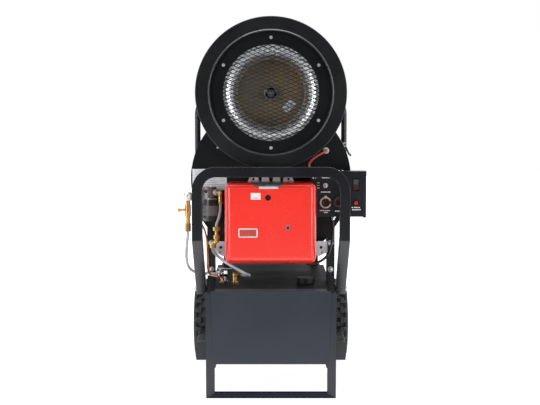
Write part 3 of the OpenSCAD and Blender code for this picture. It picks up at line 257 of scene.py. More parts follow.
def paint(name, color, roughness, peel=0.06, wear=0.35, dust=0.25, radius=0.0015,
          under=(0.24, 0.245, 0.25), size=420.0, vary=0.15, scuff=0.35, **plain):
    """Sprayed paint over steel: ripple, worn edges, a few scuffs and dust on what faces up."""
    f = Finish(name, roughness, **plain)
    edges = f.use(EDGES, Radius=radius, Wear=wear)
    tone = f.use(TONE, Size=5.0, Dust=dust)
    scuffs = f.use(SCUFFS, Amount=scuff)["Mask"]
    ripple = f.use(PEEL, Size=size)["Height"]
    body = f.blend(tone["Tone"], shade(color, 1 - vary), shade(color, 1 + vary))
    dusty = f.blend(tone["Dust"], body, (0.20, 0.195, 0.185, 1.0))
    scuffed = f.blend(f.times(scuffs, 0.5), dusty, shade(color, 2.2))
    worn = f.blend(edges["Mask"], scuffed, under + (1.0,))
    rough = f.ramp(tone["Tone"], 0.0, 1.0, roughness * 0.85, roughness * 1.2)
    rough = f.math("ADD", rough, f.times(f.math("MAXIMUM", tone["Dust"], scuffs), 0.3), clamp=True)
    return f.finish(worn, rough, ripple, peel, 0.0006, edges)


def metal(name, color, roughness, grain=0.10, stain=0.25, dark=(0.10, 0.09, 0.08)):
    """Bare or plated metal with grain, a little tarnish and softened edges."""
    f = Finish(name, roughness, metallic=1.0)
    edges = f.use(EDGES, Radius=0.0008, Wear=0.6)
    lines = f.use(GRAIN, Fine=1.0)
    tone = f.use(TONE, Size=22.0, Dust=0.3)
    body = f.blend(lines["Value"], shade(color, 0.8), shade(color, 1.12))
    stained = f.blend(f.times(tone["Tone"], stain), body, dark + (1.0,))
    bright = f.blend(edges["Mask"], stained, shade(color, 1.35))
    rough = f.ramp(lines["Value"], 0.2, 0.8, roughness * 0.7, roughness * 1.35)
    return f.finish(bright, rough, lines["Height"], grain, 0.0004, edges)


def casting(name, color, roughness, metallic=0.0, size=260.0, depth=0.35, pit=(0.05, 0.05, 0.05)):
    """A pebbled skin with darker pits: cast aluminium, iron, rubber."""
    f = Finish(name, roughness, metallic=metallic)
    edges = f.use(EDGES, Radius=0.001, Wear=0.5)
    skin = f.use(CAST, Size=size)
    tone = f.use(TONE, Size=14.0, Dust=0.35)
    body = f.blend(tone["Tone"], shade(color, 0.8), shade(color, 1.15))
    pitted = f.blend(f.times(skin["Pits"], 0.5), body, pit + (1.0,))
    dusty = f.blend(tone["Dust"], pitted, (0.22, 0.21, 0.20, 1.0))
    rubbed = f.blend(edges["Mask"], dusty, shade(color, 1.5))
    rough = f.ramp(skin["Pits"], 0.0, 1.0, roughness * 0.9, roughness * 1.25)
    return f.finish(rubbed, rough, skin["Height"], depth, 0.0008, edges)


def plastic(name, color, roughness, peel=0.08, **plain):
    """Moulded plastic: fine ripple and a faint change of shade."""
    f = Finish(name, roughness, **plain)
    edges = f.use(EDGES, Radius=0.0006, Wear=0.3)
    tone = f.use(TONE, Size=30.0, Dust=0.2)
    ripple = f.use(PEEL, Size=900.0)["Height"]
    body = f.blend(tone["Tone"], shade(color, 0.9), shade(color, 1.08))
    dusty = f.blend(tone["Dust"], body, (0.25, 0.24, 0.23, 1.0))
    rubbed = f.blend(edges["Mask"], dusty, shade(color, 1.4))
    rough = f.ramp(tone["Tone"], 0.0, 1.0, roughness * 0.88, roughness * 1.15)
    return f.finish(rubbed, rough, ripple, peel, 0.0003, edges)


def galvanised(name, color):
    """Spun zinc-coated sheet: spangle, fine turning lines and cloudy patches."""
    f = Finish(name, 0.3, metallic=1.0)
    crystals = f.use(SPANGLE, Size=70.0)["Value"]
    edges = f.use(EDGES, Radius=0.001, Wear=0.3)
    tone = f.use(TONE, Size=8.0, Dust=0.4)
    body = f.blend(crystals, shade(color, 0.90), shade(color, 1.08))
    clouded = f.blend(f.times(tone["Tone"], 0.2), body, (0.50, 0.52, 0.55, 1.0))
    rough = f.ramp(crystals, 0.0, 1.0, 0.30, 0.42)
    return f.finish(clouded, rough, crystals, 0.03, 0.0004, edges)


def passivated(name):
    """Yellow-passivated steel sheet of the impeller: olive and amber clouds over grain."""
    f = Finish(name, 0.42, metallic=0.75)
    lines = f.use(GRAIN, Fine=0.8)
    edges = f.use(EDGES, Radius=0.0008, Wear=0.4)
    place = f.place()
    cloud = f.ramp(f.noise(place, 7.0, 3.0, 0.6, 1.2), 0.35, 0.65)
    patch = f.ramp(f.noise(place, 16.0, 4.0, 0.6), 0.4, 0.7)
    body = f.blend(cloud, (0.40, 0.31, 0.18, 1.0), (0.26, 0.245, 0.24, 1.0))
    warm = f.blend(f.times(patch, 0.6), body, (0.50, 0.32, 0.11, 1.0))
    worn = f.blend(edges["Mask"], warm, (0.35, 0.33, 0.28, 1.0))
    rough = f.ramp(lines["Value"], 0.2, 0.8, 0.34, 0.58)
    return f.finish(worn, rough, lines["Height"], 0.12, 0.0004, edges)


FINISHES = {"zinc sheet": galvanised("zinc sheet", (0.93, 0.95, 1.0)),
            "impeller sheet": passivated("impeller sheet")}


def add_finishes(maker, table):
    """Makes the finishes of a table: name, colour, roughness and then other settings, if any."""
    for name, (color, roughness, *settings) in table.items():
        FINISHES[name] = maker(name, color, roughness, **dict(*settings))


add_finishes(paint, {
    "foot paint": ((0.017, 0.0215, 0.031), 0.34),
    # Rougher copy of the foot paint with no specular reflection: painted shade from the bar's contact with
    # the floor, with heavier edge wear.
    "foot bar paint": ((0.026, 0.031, 0.046), 0.6, dict(wear=0.5, Specular_IOR_Level=0.0)),
    "rail paint": ((0.012, 0.0145, 0.017), 0.34),
    "frame paint": ((0.0085, 0.009, 0.0115), 0.27, dict(radius=0.004)),
    "panel paint": ((0.0175, 0.022, 0.034), 0.42, dict(peel=0.10, wear=0.25)),
    "tank paint": ((0.008, 0.0085, 0.010), 0.5, dict(peel=0.05, Specular_IOR_Level=0.06)),
    "drum paint": ((0.0042, 0.0047, 0.0064), 0.38, dict(peel=0.07, wear=0.3, Specular_IOR_Level=0.4)),
    # Darker, duller copy of the drum paint for the inlet ring's recessed plate: painted shade in the
    # recess.
    "recess paint": ((0.0022, 0.0025, 0.0033), 0.5, dict(peel=0.07, Specular_IOR_Level=0.16)),
    "guard paint": ((0.007, 0.0075, 0.009), 0.45, dict(radius=0.0004)),
    "box paint": ((0.0075, 0.008, 0.0115), 0.36),
    "rim paint": ((0.02, 0.022, 0.025), 0.4),
    "latch paint": ((0.010, 0.010, 0.012), 0.35, dict(radius=0.0006)),
    "canister paint": ((0.012, 0.012, 0.014), 0.3),
    "cover paint": ((1.0, 0.036, 0.023), 0.26, dict(
        peel=0.03, wear=0.10, dust=0.02, under=(0.60, 0.12, 0.09), size=240.0, vary=0.02,
        scuff=0.0, Coat_Weight=0.4, Coat_Roughness=0.08)),
    # Much lighter and glossier than the drum paint, for the rolled bead at the edge of the inlet ring's
    # recess: a painted highlight line.
    "bead paint": ((0.035, 0.037, 0.042), 0.22, dict(peel=0.03, Specular_IOR_Level=0.8)),
    "slat paint": ((0.50, 0.17, 0.15), 0.5, dict(dust=0.1)),
})
add_finishes(metal, {
    "zinc": ((0.78, 0.79, 0.80), 0.42),
    "bright steel": ((0.60, 0.60, 0.61), 0.28),
    "axle steel": ((0.40, 0.41, 0.42), 0.4),
    "chamber steel": ((0.30, 0.29, 0.28), 0.5, dict(stain=0.5)),
    "flue steel": ((0.42, 0.43, 0.44), 0.4, dict(stain=0.4)),
    "nickel": ((0.66, 0.67, 0.69), 0.16, dict(grain=0.04)),
    "brass": ((0.75, 0.52, 0.16), 0.28, dict(stain=0.3, dark=(0.16, 0.09, 0.03))),
    "bronze": ((0.68, 0.42, 0.17), 0.34, dict(stain=0.35, dark=(0.16, 0.07, 0.03))),
    "copper": ((0.70, 0.33, 0.18), 0.3, dict(stain=0.35, dark=(0.14, 0.06, 0.03))),
    "bracket zinc": ((0.84, 0.86, 0.89), 0.5, dict(stain=0.08)),
})
add_finishes(casting, {
    "flange zinc": ((0.74, 0.77, 0.82), 0.5, dict(metallic=0.1, depth=0.2, pit=(0.36, 0.36, 0.38))),
    "cast aluminium": ((0.24, 0.235, 0.23), 0.45, dict(metallic=0.8)),
    "burner casting": ((0.20, 0.21, 0.22), 0.5, dict(metallic=0.7)),
    "motor iron": ((0.035, 0.038, 0.042), 0.5),
    "hub iron": ((0.09, 0.085, 0.09), 0.45, dict(metallic=0.5, size=420.0, depth=0.2)),
    "tyre rubber": ((0.030, 0.031, 0.034), 0.72, dict(size=340.0, depth=0.5, pit=(0.014, 0.014, 0.015))),
    "cable rubber": ((0.012, 0.012, 0.013), 0.5, dict(size=900.0, depth=0.15, pit=(0.008, 0.008, 0.008))),
})
add_finishes(plastic, {
    "socket cream": ((0.62, 0.58, 0.47), 0.35),
    "black plastic": ((0.009, 0.009, 0.010), 0.42, dict(Specular_IOR_Level=0.3)),
    "socket plastic": ((0.055, 0.030, 0.022), 0.4),
    "white plastic": ((0.72, 0.73, 0.74), 0.4),
    "red plastic": ((0.62, 0.035, 0.03), 0.25),
    "rocker plastic": ((0.012, 0.014, 0.014), 0.25),
    "green lens": ((0.010, 0.075, 0.050), 0.2),
    "dark red lens": ((0.10, 0.018, 0.020), 0.25),
    "label film": ((0.93, 0.95, 1.0), 0.35, dict(peel=0.03)),
    "white film": ((0.86, 0.86, 0.86), 0.35, dict(peel=0.03)),
    "grey print": ((0.42, 0.45, 0.56), 0.5),
    "dark print": ((0.035, 0.033, 0.036), 0.5),
    "canister film": ((0.115, 0.105, 0.11), 0.4, dict(peel=0.03)),
    "white print": ((0.75, 0.75, 0.75), 0.5),
    "sleeve": ((0.62, 0.10, 0.065), 0.35),
    "hose plastic": ((0.60, 0.62, 0.68), 0.18, dict(Transmission_Weight=0.35, IOR=1.45)),
})

# What each solid is finished in. Those that a piece of the scene replaces need none.
DRESS = {
    "foot paint": ["foot_loop"],
    "frame paint": ["base_frame", "drum_cradle", "front_hoop", "push_hoop"],
    "panel paint": ["tank_front_panel"],
    "tank paint": ["tank_shell"],
    "drum paint": ["drum_shell", "drum_front_plate", "outlet_cone", "fan_casing", "inlet_ring", "air_hood"],
    "box paint": ["control_box", "box_lid"],
    "rim paint": ["rim_left", "rim_right"],
    "latch paint": ["latch_left", "latch_right"],
    "canister paint": ["filter_canister"],
    "cover paint": ["burner_cover"],
    "zinc": ["frame_bolts", "axle_nuts", "guard_screws", "latch_bases"],
    "bright steel": ["cover_screw", "toggle_lever"],
    "axle steel": ["axle"],
    "chamber steel": ["combustion_chamber", "heat_exchanger", "blast_tube"],
    "flue steel": ["flue_spigot"],
    "nickel": ["valve_body", "valve_lever", "box_gland"],
    "brass": ["brass_fittings"],
    "bronze": ["vent_body"],
    "bracket zinc": ["burner_brackets", "cover_vent"],
    "cast aluminium": ["filter_head"],
    "flange zinc": ["burner_flange"],
    "burner casting": ["burner_body"],
    "motor iron": ["fan_motor", "motor_bracket"],
    "tyre rubber": ["tyre_left", "tyre_right"],
    "black plastic": ["tank_cap", "burner_reset"],
    "socket cream": ["panel_fittings"],
    "white plastic": ["wire_gland"],
    "red plastic": ["reset_button"],
    "rocker plastic": ["rocker_switch"],
    "label film": ["label_plate"],
    "zinc sheet": ["inlet_cone"],
    "impeller sheet": ["impeller"],
}


def dress():
    for finish, names in DRESS.items():
        for name in names:
            mesh = NODES[name].data
            mesh.materials.clear()
            mesh.materials.append(FINISHES[finish])


def dress_faces(node, finish, test):
    """A second finish on the faces of a solid whose centres, in millimetres, pass a test."""
    obj = NODES[node]
    obj.data.materials.append(FINISHES[finish])
    slot = len(obj.data.materials) - 1
    for face in obj.data.polygons:
        if test(obj.matrix_world @ face.center * 1000):
            face.material_index = slot


def off_fan(c):
    """Distance of a point in millimetres from the fan's axis."""
    return math.hypot(c.x, c.z - FAN_Z / MM)


dress()
# The bar on the floor gets the unreflecting copy of the foot paint: painted shade of its contact with the
# floor.
dress_faces("foot_loop", "foot bar paint", lambda c: abs(c.x) < 211.5 and c.z < 21)
dress_faces("base_frame", "rail paint", lambda c: c.z < 175)
dress_faces("impeller", "hub iron", lambda c: off_fan(c) < 27.5 and c.y < 195.5)
dress_faces("cover_vent", "slat paint", lambda c: abs(c.x + 86.5) < 31.4 and abs(c.z - 615.5) < 12.6)
# The middle of the cover screw's head is painted black: painted shade in its recess.
dress_faces("cover_screw", "latch paint", lambda c: math.hypot(c.x - 63, c.z - 635) < 5.7)
# The recessed plate inside the inlet ring gets the darker copy of the drum paint: painted shade.
dress_faces("inlet_ring", "recess paint", lambda c: off_fan(c) < 226.5)
# The rolled bead round the recess gets the lighter, glossier copy: a painted highlight line.
dress_faces("inlet_ring", "bead paint", lambda c: 227.5 < off_fan(c) < 234.5 and c.y < 41)
dress_faces("panel_fittings", "black plastic", lambda c: c.x > 300)
dress_faces("panel_fittings", "zinc", lambda c: c.x < 225 and c.z > 770)
dress_faces("panel_fittings", "socket plastic", lambda c: c.z < 770 and c.x < 300 and (c.y > 158.5 or any(
    math.hypot(c.x - x, c.z - z) < r for (x, z), r in zip(SOCKETS, (17, 30)))))


# Making pieces -----------------------------------------------------------------------------

def mesh_of(name, bm):
    """A mesh object of a finished bmesh."""
    mesh = bpy.data.meshes.new(name)
    bm.to_mesh(mesh)
    bm.free()
    return bpy.data.objects.new(name, mesh)


def place(obj, body, finish, smooth=None):
    """Links a new piece, gives it its finish and lets it ride a body."""
    scene.collection.objects.link(obj)
    obj.data.materials.append(FINISHES[finish])
    if smooth is not None:
        for polygon in obj.data.polygons:
            polygon.use_smooth = True
        obj.data.set_sharp_from_angle(angle=math.radians(smooth))
    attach(obj, body)
    return obj


def made(name, build, body="chassis", finish="", smooth=35, bevel=0.0):
    """A mesh piece from a function that fills a bmesh, with its edges rounded by a bevel."""
    bm = bmesh.new()
    build(bm)
    bmesh.ops.remove_doubles(bm, verts=bm.verts, dist=1e-6)
    bmesh.ops.recalc_face_normals(bm, faces=bm.faces)
    obj = mesh_of(name, bm)
    if bevel:
        rounding = obj.modifiers.new("rounding", "BEVEL")
        rounding.width = bevel
        rounding.segments = 2
        rounding.limit_method = "ANGLE"
        rounding.angle_limit = math.radians(40)
    return place(obj, body, finish, smooth)


def add_skin(bm, rings, ends=True):
    """Faces between loops of as many points each, and over the first and the last of them."""
    for low, high in zip(rings, rings[1:]):
        for i in range(len(low)):
            j = (i + 1) % len(low)
            bm.faces.new((low[i], low[j], high[j], high[i]))
    if ends:
        bm.faces.new(rings[0][::-1])
        bm.faces.new(rings[-1])


def frame_along(direction):
    """A rotation whose Z lies along a direction."""
    return Vector(direction).to_track_quat("Z", "Y").to_matrix().to_4x4()


def add_turned(bm, profile, at, along, sides=32):
    """Turns a list of (radius, distance) about an axis through a point."""
    turn = Matrix.Translation(at) @ frame_along(along)
    rings = []
    for radius, height in profile:
        if radius < 1e-7:
            rings.append([bm.verts.new(turn @ Vector((0, 0, height)))])
        else:
            rings.append([bm.verts.new(turn @ Vector((radius * math.cos(a), radius * math.sin(a), height)))
                          for a in (2 * math.pi * i / sides for i in range(sides))])
    for low, high in zip(rings, rings[1:]):
        for i in range(sides):
            j = (i + 1) % sides
            if len(low) == 1 and len(high) == 1:
                continue
            if len(low) == 1:
                bm.faces.new((low[0], high[i], high[j]))
            elif len(high) == 1:
                bm.faces.new((low[i], low[j], high[0]))
            else:
                bm.faces.new((low[i], low[j], high[j], high[i]))
    for ring, flip in ((rings[0], True), (rings[-1], False)):
        if len(ring) > 2:
            bm.faces.new(ring[::-1] if flip else ring)


def add_block(bm, low, high):
    """A box between two corners."""
    made_here = bmesh.ops.create_cube(bm, size=1.0)["verts"]
    size = Vector(high) - Vector(low)
    middle = (Vector(high) + Vector(low)) / 2
    for v in made_here:
        v.co = Vector((v.co.x * size.x, v.co.y * size.y, v.co.z * size.z)) + middle
    return made_here


def add_turned_block(bm, centre, size, axis, degrees):
    """A box of a size about a centre, turned about an axis through it."""
    half = Vector(size) / 2
    verts = add_block(bm, -half, half)
    turn = Matrix.Translation(centre) @ Matrix.Rotation(math.radians(degrees), 4, axis)
    for v in verts:
        v.co = turn @ v.co


def add_hexagon(bm, across, low, high, at, along):
    """A hexagonal nut or head with chamfered corners."""
    r = across / math.sqrt(3)
    chamfer = min(0.12 * across, 0.3 * (high - low))
    turn = Matrix.Translation(at) @ frame_along(along)
    rings = []
    for z, scale in ((low, 1.0), (high - chamfer, 1.0), (high, 0.9)):
        rings.append([bm.verts.new(turn @ Vector((r * scale * math.cos(a), r * scale * math.sin(a), z)))
                      for a in (math.pi / 3 * i for i in range(6))])
    add_skin(bm, rings)


def add_cross_screw(bm, at, along, r, height):
    """A pan head with a cross recess."""
    dome = [(r, 0.0), (r * 0.98, height * 0.35), (r * 0.8, height * 0.8), (r * 0.45, height)]
    add_turned(bm, dome + [(r * 0.45, height * 0.55), (0, height * 0.45)], at, along, 20)
    turn = Matrix.Translation(at) @ frame_along(along)
    for angle in (45, 135):
        verts = add_block(bm, (-r * 0.42, -r * 0.07, height * 0.5), (r * 0.42, r * 0.07, height * 0.93))
        spin = Matrix.Rotation(math.radians(angle), 4, "Z")
        for v in verts:
            v.co = turn @ (spin @ v.co)


def add_rivet(bm, at, along, r, height):
    """A domed blind rivet with its small centre mark."""
    add_turned(bm, [(r, 0.0), (r * 0.95, height * 0.4), (r * 0.7, height * 0.85), (r * 0.35, height),
                    (r * 0.28, height * 0.8), (0, height * 0.78)], at, along, 16)


# Hoses, pipes and cables -------------------------------------------------------------------

def smooth_route(points):
    """The same smooth line through points in millimetres that the solids follow, in metres."""
    steps = 10
    p = [Vector(q) * MM for q in points]
    line = []
    for i in range(len(p) - 1):
        p0, p1, p2, p3 = p[max(i - 1, 0)], p[i], p[i + 1], p[min(i + 2, len(p) - 1)]
        for k in range(steps):
            t = k / steps
            line.append(0.5 * (2 * p1 + (p2 - p0) * t + (2 * p0 - 5 * p1 + 4 * p2 - p3) * t * t
                               + (3 * p1 - p0 - 3 * p2 + p3) * t ** 3))
    return line + [p[-1]]


def add_tube(name, points, radius, finish, node):
    """A round tube on a smooth route, as a curve of one open spline."""
    line = smooth_route(points)
    data = bpy.data.curves.new(name, "CURVE")
    data.dimensions = "3D"
    data.bevel_depth = radius
    data.bevel_resolution = 5
    data.use_fill_caps = True
    spline = data.splines.new("POLY")
    spline.points.add(len(line) - 1)
    for point, at in zip(spline.points, line):
        point.co = (*at, 1.0)
    spline.use_smooth = True
    obj = place(bpy.data.objects.new(name, data), "chassis", finish)
    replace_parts(obj, node)
    return obj, sum((b - a).length for a, b in zip(line, line[1:]))


HOSE_UPPER = [(-194, 137, 718), (-194, 137, 706), (-195, 136, 685), (-201, 135, 660), (-208, 134, 641),
              (-208, 134, 629)]
HOSE_LOWER = [(-222, 134, 548), (-222, 134, 541), (-216, 131, 529), (-200, 120, 516), (-177, 104, 500),
              (-147, 91, 484), (-116, 86, 466), (-93, 98, 452), (-84, 126, 443), (-88, 152, 439.5),
              (-102, 170, 438), (-118, 170, 438)]
HOSE_VENT = [(-321, 172, 608), (-321, 172, 596), (-325, 173, 560), (-328, 177, 510), (-321, 190, 468),
             (-300, 205, 446), (-275, 210, 438), (-252, 210, 438)]
PIPE_RETURN = [(-263.3, 186, 755), (-269, 186, 755), (-277, 187, 748), (-280, 188, 720), (-280, 188, 680),
               (-274, 190, 645), (-258, 192, 610), (-249, 192, 565), (-247, 190, 500), (-246, 186, 465),
               (-236, 182, 440), (-214, 180, 433), (-196, 180, 428), (-192, 180, 418), (-192, 180, 410.3)]
CABLE_BURNER = [(239, 186, 652), (240, 180, 634), (241, 166, 605), (236, 156, 575), (228, 150, 544),
                (216, 146, 517), (196, 144, 499), (168, 142, 487), (148, 139, 485), (136, 137, 488.5)]
WIRE_RED = [(214, 217, 919), (213, 205, 918), (203, 194, 912), (187, 190, 904), (164, 187, 889),
            (148, 186, 871), (149, 186, 857), (160, 186, 851), (166, 186, 841)]

for name, points, radius, finish, node, stiffness in (
        ("hose_upper", HOSE_UPPER, 0.0055, "hose plastic", "fuel_hoses", "medium"),
        ("hose_lower", HOSE_LOWER, 0.006, "hose plastic", "fuel_hoses", "limp"),
        ("hose_vent", HOSE_VENT, 0.0055, "hose plastic", "fuel_hoses", "medium"),
        ("burner_lead", CABLE_BURNER, 0.005, "cable rubber", "burner_cable", "medium"),
        ("igniter_lead", WIRE_RED, 0.0046, "sleeve", "red_wire", "limp")):
    tube, length = add_tube(name, points, radius, finish, node)
add_tube("pipe_return", PIPE_RETURN, 0.004, "copper", "return_pipe")


# Marks, labels and films -------------------------------------------------------------------

def add_marks(bm, x0, x1, z, height, y, depth=0.0003, letter=0.0022):
    """A row of plain marks, spaced like words but saying nothing."""
    x = x0
    while x < x1 - letter:
        word = min(x1, x + letter * random.choice((3, 4, 5, 7)))
        add_block(bm, (x, y - depth, z - height / 2), (word, y, z + height / 2))
        x = word + letter * 0.8


LID_Y = 158 * MM        # front face of the control box's lid
LABEL_Y = 219.2 * MM    # front face of the label on the drum
COVER_Y = 50 * MM       # front face of the burner cover


def lid_marks(bm):
    for x0, x1, z, height in ((196, 226, 817, 5), (192, 231, 761.5, 4.6), (188.5, 227, 690, 4.2),
                              (204, 219, 682.5, 3.4), (246, 266, 688, 4.4),
                              (310, 346, 702, 4), (312, 345, 693.5, 4.4), (160, 166, 815.5, 5)):
        add_marks(bm, x0 * MM, x1 * MM, z * MM, height * MM, LID_Y)
    for z in (797, 787, 777):
        add_block(bm, (176.6 * MM, LID_Y - 0.0003, (z - 1) * MM), (187 * MM, LID_Y, (z + 1) * MM))
    add_block(bm, (171 * MM, LID_Y - 0.0003, 813 * MM), (173 * MM, LID_Y, 819 * MM))


def label_marks(bm):
    for row in range(9):
        z = (839 - 7.6 * row) * MM
        add_marks(bm, -296 * MM, (-180 if row % 3 else -205) * MM, z, 0.0021, LABEL_Y, letter=0.0018)
    for row in range(9):
        add_block(bm, (-274 * MM, LABEL_Y - 0.0003, (700 + 7 * row) * MM),
                  (-266 * MM, LABEL_Y, (701.5 + 7 * row) * MM))


def cover_sticker(bm):
    add_block(bm, (-76 * MM, COVER_Y - 0.0004, 741 * MM), (-39 * MM, COVER_Y, 766 * MM))


def cover_sticker_bar(bm):
    add_block(bm, (-66 * MM, COVER_Y - 0.0006, 744.5 * MM), (-49 * MM, COVER_Y - 0.0004, 748.5 * MM))


made("lid_marks", lid_marks, finish="white print")
made("label_marks", label_marks, finish="grey print")
made("cover_sticker", cover_sticker, finish="white film", bevel=0.0001)
made("cover_sticker_bar", cover_sticker_bar, finish="grey print")


def curved_strip(bm, centre, radius, x0, x1, start, end, thick):
    """A thin strip bent round an axis along X, between two angles up from the front."""
    steps = 8
    rows = []
    for k in range(steps + 1):
        a = math.radians(start + (end - start) * k / steps)
        rows.append([bm.verts.new((x, centre[0] - r * math.cos(a), centre[1] + r * math.sin(a)))
                     for r, x in ((radius, x0), (radius, x1), (radius + thick, x1), (radius + thick, x0))])
    add_skin(bm, rows)


COVER_EDGE = (78 * MM, 775.5 * MM)   # centre of the cover's rounded top edge, as depth and height
made("cover_top_seal", lambda bm: curved_strip(bm, COVER_EDGE, 0.0280, -45 * MM, 27 * MM, 12, 31, 0.0008),
     finish="white plastic", bevel=0.0002)
made("cover_top_plate", lambda bm: curved_strip(bm, COVER_EDGE, 0.0280, -67 * MM, 45 * MM, 31, 88, 0.0010),
     finish="burner casting", bevel=0.0003)


def round_canister(bm, radius, angle, z):
    return bm.verts.new((CANISTER[0] + radius * math.cos(angle), CANISTER[1] + radius * math.sin(angle), z))


def canister_label(bm, r=0.0402, thick=0.0003):
    """A band round the front of the filter canister."""
    rows = []
    for k in range(25):
        a = math.radians(178 + 130 * k / 24)
        rows.append([round_canister(bm, q, a, z) for q, z in
                     ((r, 0.672), (r, 0.711), (r + thick, 0.711), (r + thick, 0.672))])
    add_skin(bm, rows)


def canister_marks(bm, steps=6):
    """Five rows of plain marks on the canister's label."""
    for row, (start, end) in enumerate(((196, 226), (200, 240), (196, 216), (222, 244), (198, 232))):
        z = (706 - 6.5 * row) * MM
        for k in range(steps):
            a, b = (math.radians(start + (end - start) * q / steps) for q in (k, k + 0.75))
            ring = ((0.0405, a), (0.0405, b), (0.0407, b), (0.0407, a))
            add_skin(bm, [[round_canister(bm, q, t, level) for q, t in ring] for level in (z, z + 0.0035)])


made("canister_label", canister_label, finish="canister film")
made("canister_marks", canister_marks, finish="dark print")


# Fan ---------------------------------------------------------------------------------------

FAN = Vector((0, 0, FAN_Z))


def hub_ring(bm):
    """Turned bead round the hub's face, with a shallow groove inside it."""
    at = FAN + Vector((0, 0.1740, 0))
    add_turned(bm, [(0.0262, 0), (0.0262, 0.0012), (0.0252, 0.0018), (0.0236, 0.0018), (0.0226, 0.0008),
                    (0.0226, 0)], at, TO_FRONT, 64)


def rotor_nose(bm):
    """Cap screw and washer on the shaft's end, and three hub screws."""
    washer = [(0.0105, 0), (0.0105, 0.0018), (0.0, 0.0018)]
    add_turned(bm, washer, FAN + Vector((0, 0.1700, 0)), TO_FRONT, 28)
    add_hexagon(bm, 0.013, 0, 0.0055, FAN + Vector((0, 0.1682, 0)), TO_FRONT)
    for k in range(3):
        a = math.radians(30 + 120 * k)
        at = FAN + Vector((0.0185 * math.cos(a), 0.1740, 0.0185 * math.sin(a)))
        add_cross_screw(bm, at, TO_FRONT, 0.0032, 0.0022)


STICKER = (0.069, 0.1958, 1.091)    # middle of the sticker on the impeller's back plate


def rotor_sticker(bm):
    add_turned_block(bm, STICKER, (0.048, 0.0004, 0.028), "Y", -45)


def rotor_sticker_marks(bm):
    along = Vector((math.cos(math.radians(45)), 0, math.sin(math.radians(45))))
    for shift, size in ((-0.0155, 0.008), (-0.004, 0.009), (0.0095, 0.011)):
        add_turned_block(bm, Vector(STICKER) + Vector((0, -0.0003, 0)) + along * shift,
                         (size, 0.0002, 0.015), "Y", -45)


made("hub_ring", hub_ring, "fan_rotor", "axle steel", bevel=0.0002)
made("rotor_nose", rotor_nose, "fan_rotor", "axle steel", bevel=0.0003)
made("rotor_sticker", rotor_sticker, "fan_rotor", "label film")
made("rotor_sticker_marks", rotor_sticker_marks, "fan_rotor", "grey print")


def around(count, start=0.0):
    return [math.radians(start + 360 * k / count) for k in range(count)]


# Expanded-metal net of the fan guard, with every mesh up to its rim.
MESH = (0.0360, 0.0147)  # width and height of a mesh
STRAND = 0.0056          # width of a strand
NET_TURN = math.radians(-2.1)   # how far the sheet was turned when it was cut
NET_R = 0.178            # inside of the guard's flat rim
RIM_R = 0.212            # outside of the rim
SCREW_R = 0.204          # circle of its six screws
HOLE_R = 0.0032          # hole for each screw
NET_Y = 0.053            # front face
NET_T = 0.002            # thickness of the sheet
ROWS, COLUMNS = 26, 6    # half rows and meshes to each side of the middle that reach the rim
SLIVER = 5e-6            # clipped openings smaller than this are left closed


def clipped(outline, radius, sides=96):
    """An outline cut to the inside of a round of many sides about the origin."""
    for a in around(sides, 180 / sides):
        nx, nz = math.cos(a), math.sin(a)
        inside = [radius - x * nx - z * nz for x, z in outline]
        kept = []
        for i, (x, z) in enumerate(outline):
            j = (i + 1) % len(outline)
            if inside[i] >= 0:
                kept.append((x, z))
            if inside[i] * inside[j] < 0:
                t = inside[i] / (inside[i] - inside[j])
                kept.append((x + t * (outline[j][0] - x), z + t * (outline[j][1] - z)))
        outline = kept
    return outline


def area(outline):
    return abs(sum(a[0] * b[1] - b[0] * a[1] for a, b in zip(outline, outline[1:] + outline[:1]))) / 2


def net_openings():
    """The net's diamond openings, row by row, each clipped by the rim."""
    slope = MESH[1] / MESH[0]
    dz = MESH[1] / 2 - STRAND / 4 * math.sqrt(1 + slope * slope)
    dx = dz / slope
    across, up = math.cos(NET_TURN), math.sin(NET_TURN)
    for row in range(-ROWS, ROWS + 1):
        for column in range(-COLUMNS, COLUMNS + 1):
            x = (column + (row % 2) / 2) * MESH[0]
            z = row / 2 * MESH[1]
            turned = [(p * across - q * up, p * up + q * across)
                      for p, q in ((x - dx, z), (x, z - dz), (x + dx, z), (x, z + dz))]
            cell = clipped(turned, NET_R)
            if len(cell) > 2 and area(cell) > SLIVER:
                yield cell


def guard_net(bm):
    loops = [[(RIM_R * math.cos(a), RIM_R * math.sin(a)) for a in around(96)]]
    for b in around(6, 30):
        loops.append([(SCREW_R * math.cos(b) + HOLE_R * math.cos(a),
                       SCREW_R * math.sin(b) + HOLE_R * math.sin(a)) for a in around(16)])
    loops += net_openings()
    for loop in loops:
        verts = [bm.verts.new(FAN + Vector((x, NET_Y, z))) for x, z in loop]
        for a, b in zip(verts, verts[1:] + verts[:1]):
            bm.edges.new((a, b))
    bmesh.ops.remove_doubles(bm, verts=bm.verts, dist=2e-5)
    sheet = bmesh.ops.triangle_fill(bm, edges=bm.edges, use_beauty=True, normal=TO_FRONT)["geom"]
    faces = [g for g in sheet if isinstance(g, bmesh.types.BMFace)]
    lifted = bmesh.ops.extrude_face_region(bm, geom=faces, use_keep_orig=True)["geom"]
    for v in lifted:
        if isinstance(v, bmesh.types.BMVert):
            v.co.y += NET_T


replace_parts(made("guard_net", guard_net, finish="guard paint", bevel=0.0003), "fan_guard")


def casing_rivets(bm):
    """Rivets that hold the ring's lip to the casing."""
    for a in around(12, 15):
        out = Vector((math.cos(a), 0, math.sin(a)))
        add_rivet(bm, FAN + Vector((0, 0.068, 0)) + out * 0.2818, out, 0.0032, 0.0014)


def cone_screws(bm):
    """Screws through the drum's rear edge into the cone."""
    for a in around(12, 15):
        out = Vector((math.cos(a), 0, math.sin(a)))
        add_cross_screw(bm, Vector((0, 0.930, DRUM_Z)) + out * DRUM_OUT, out, 0.0045, 0.0024)


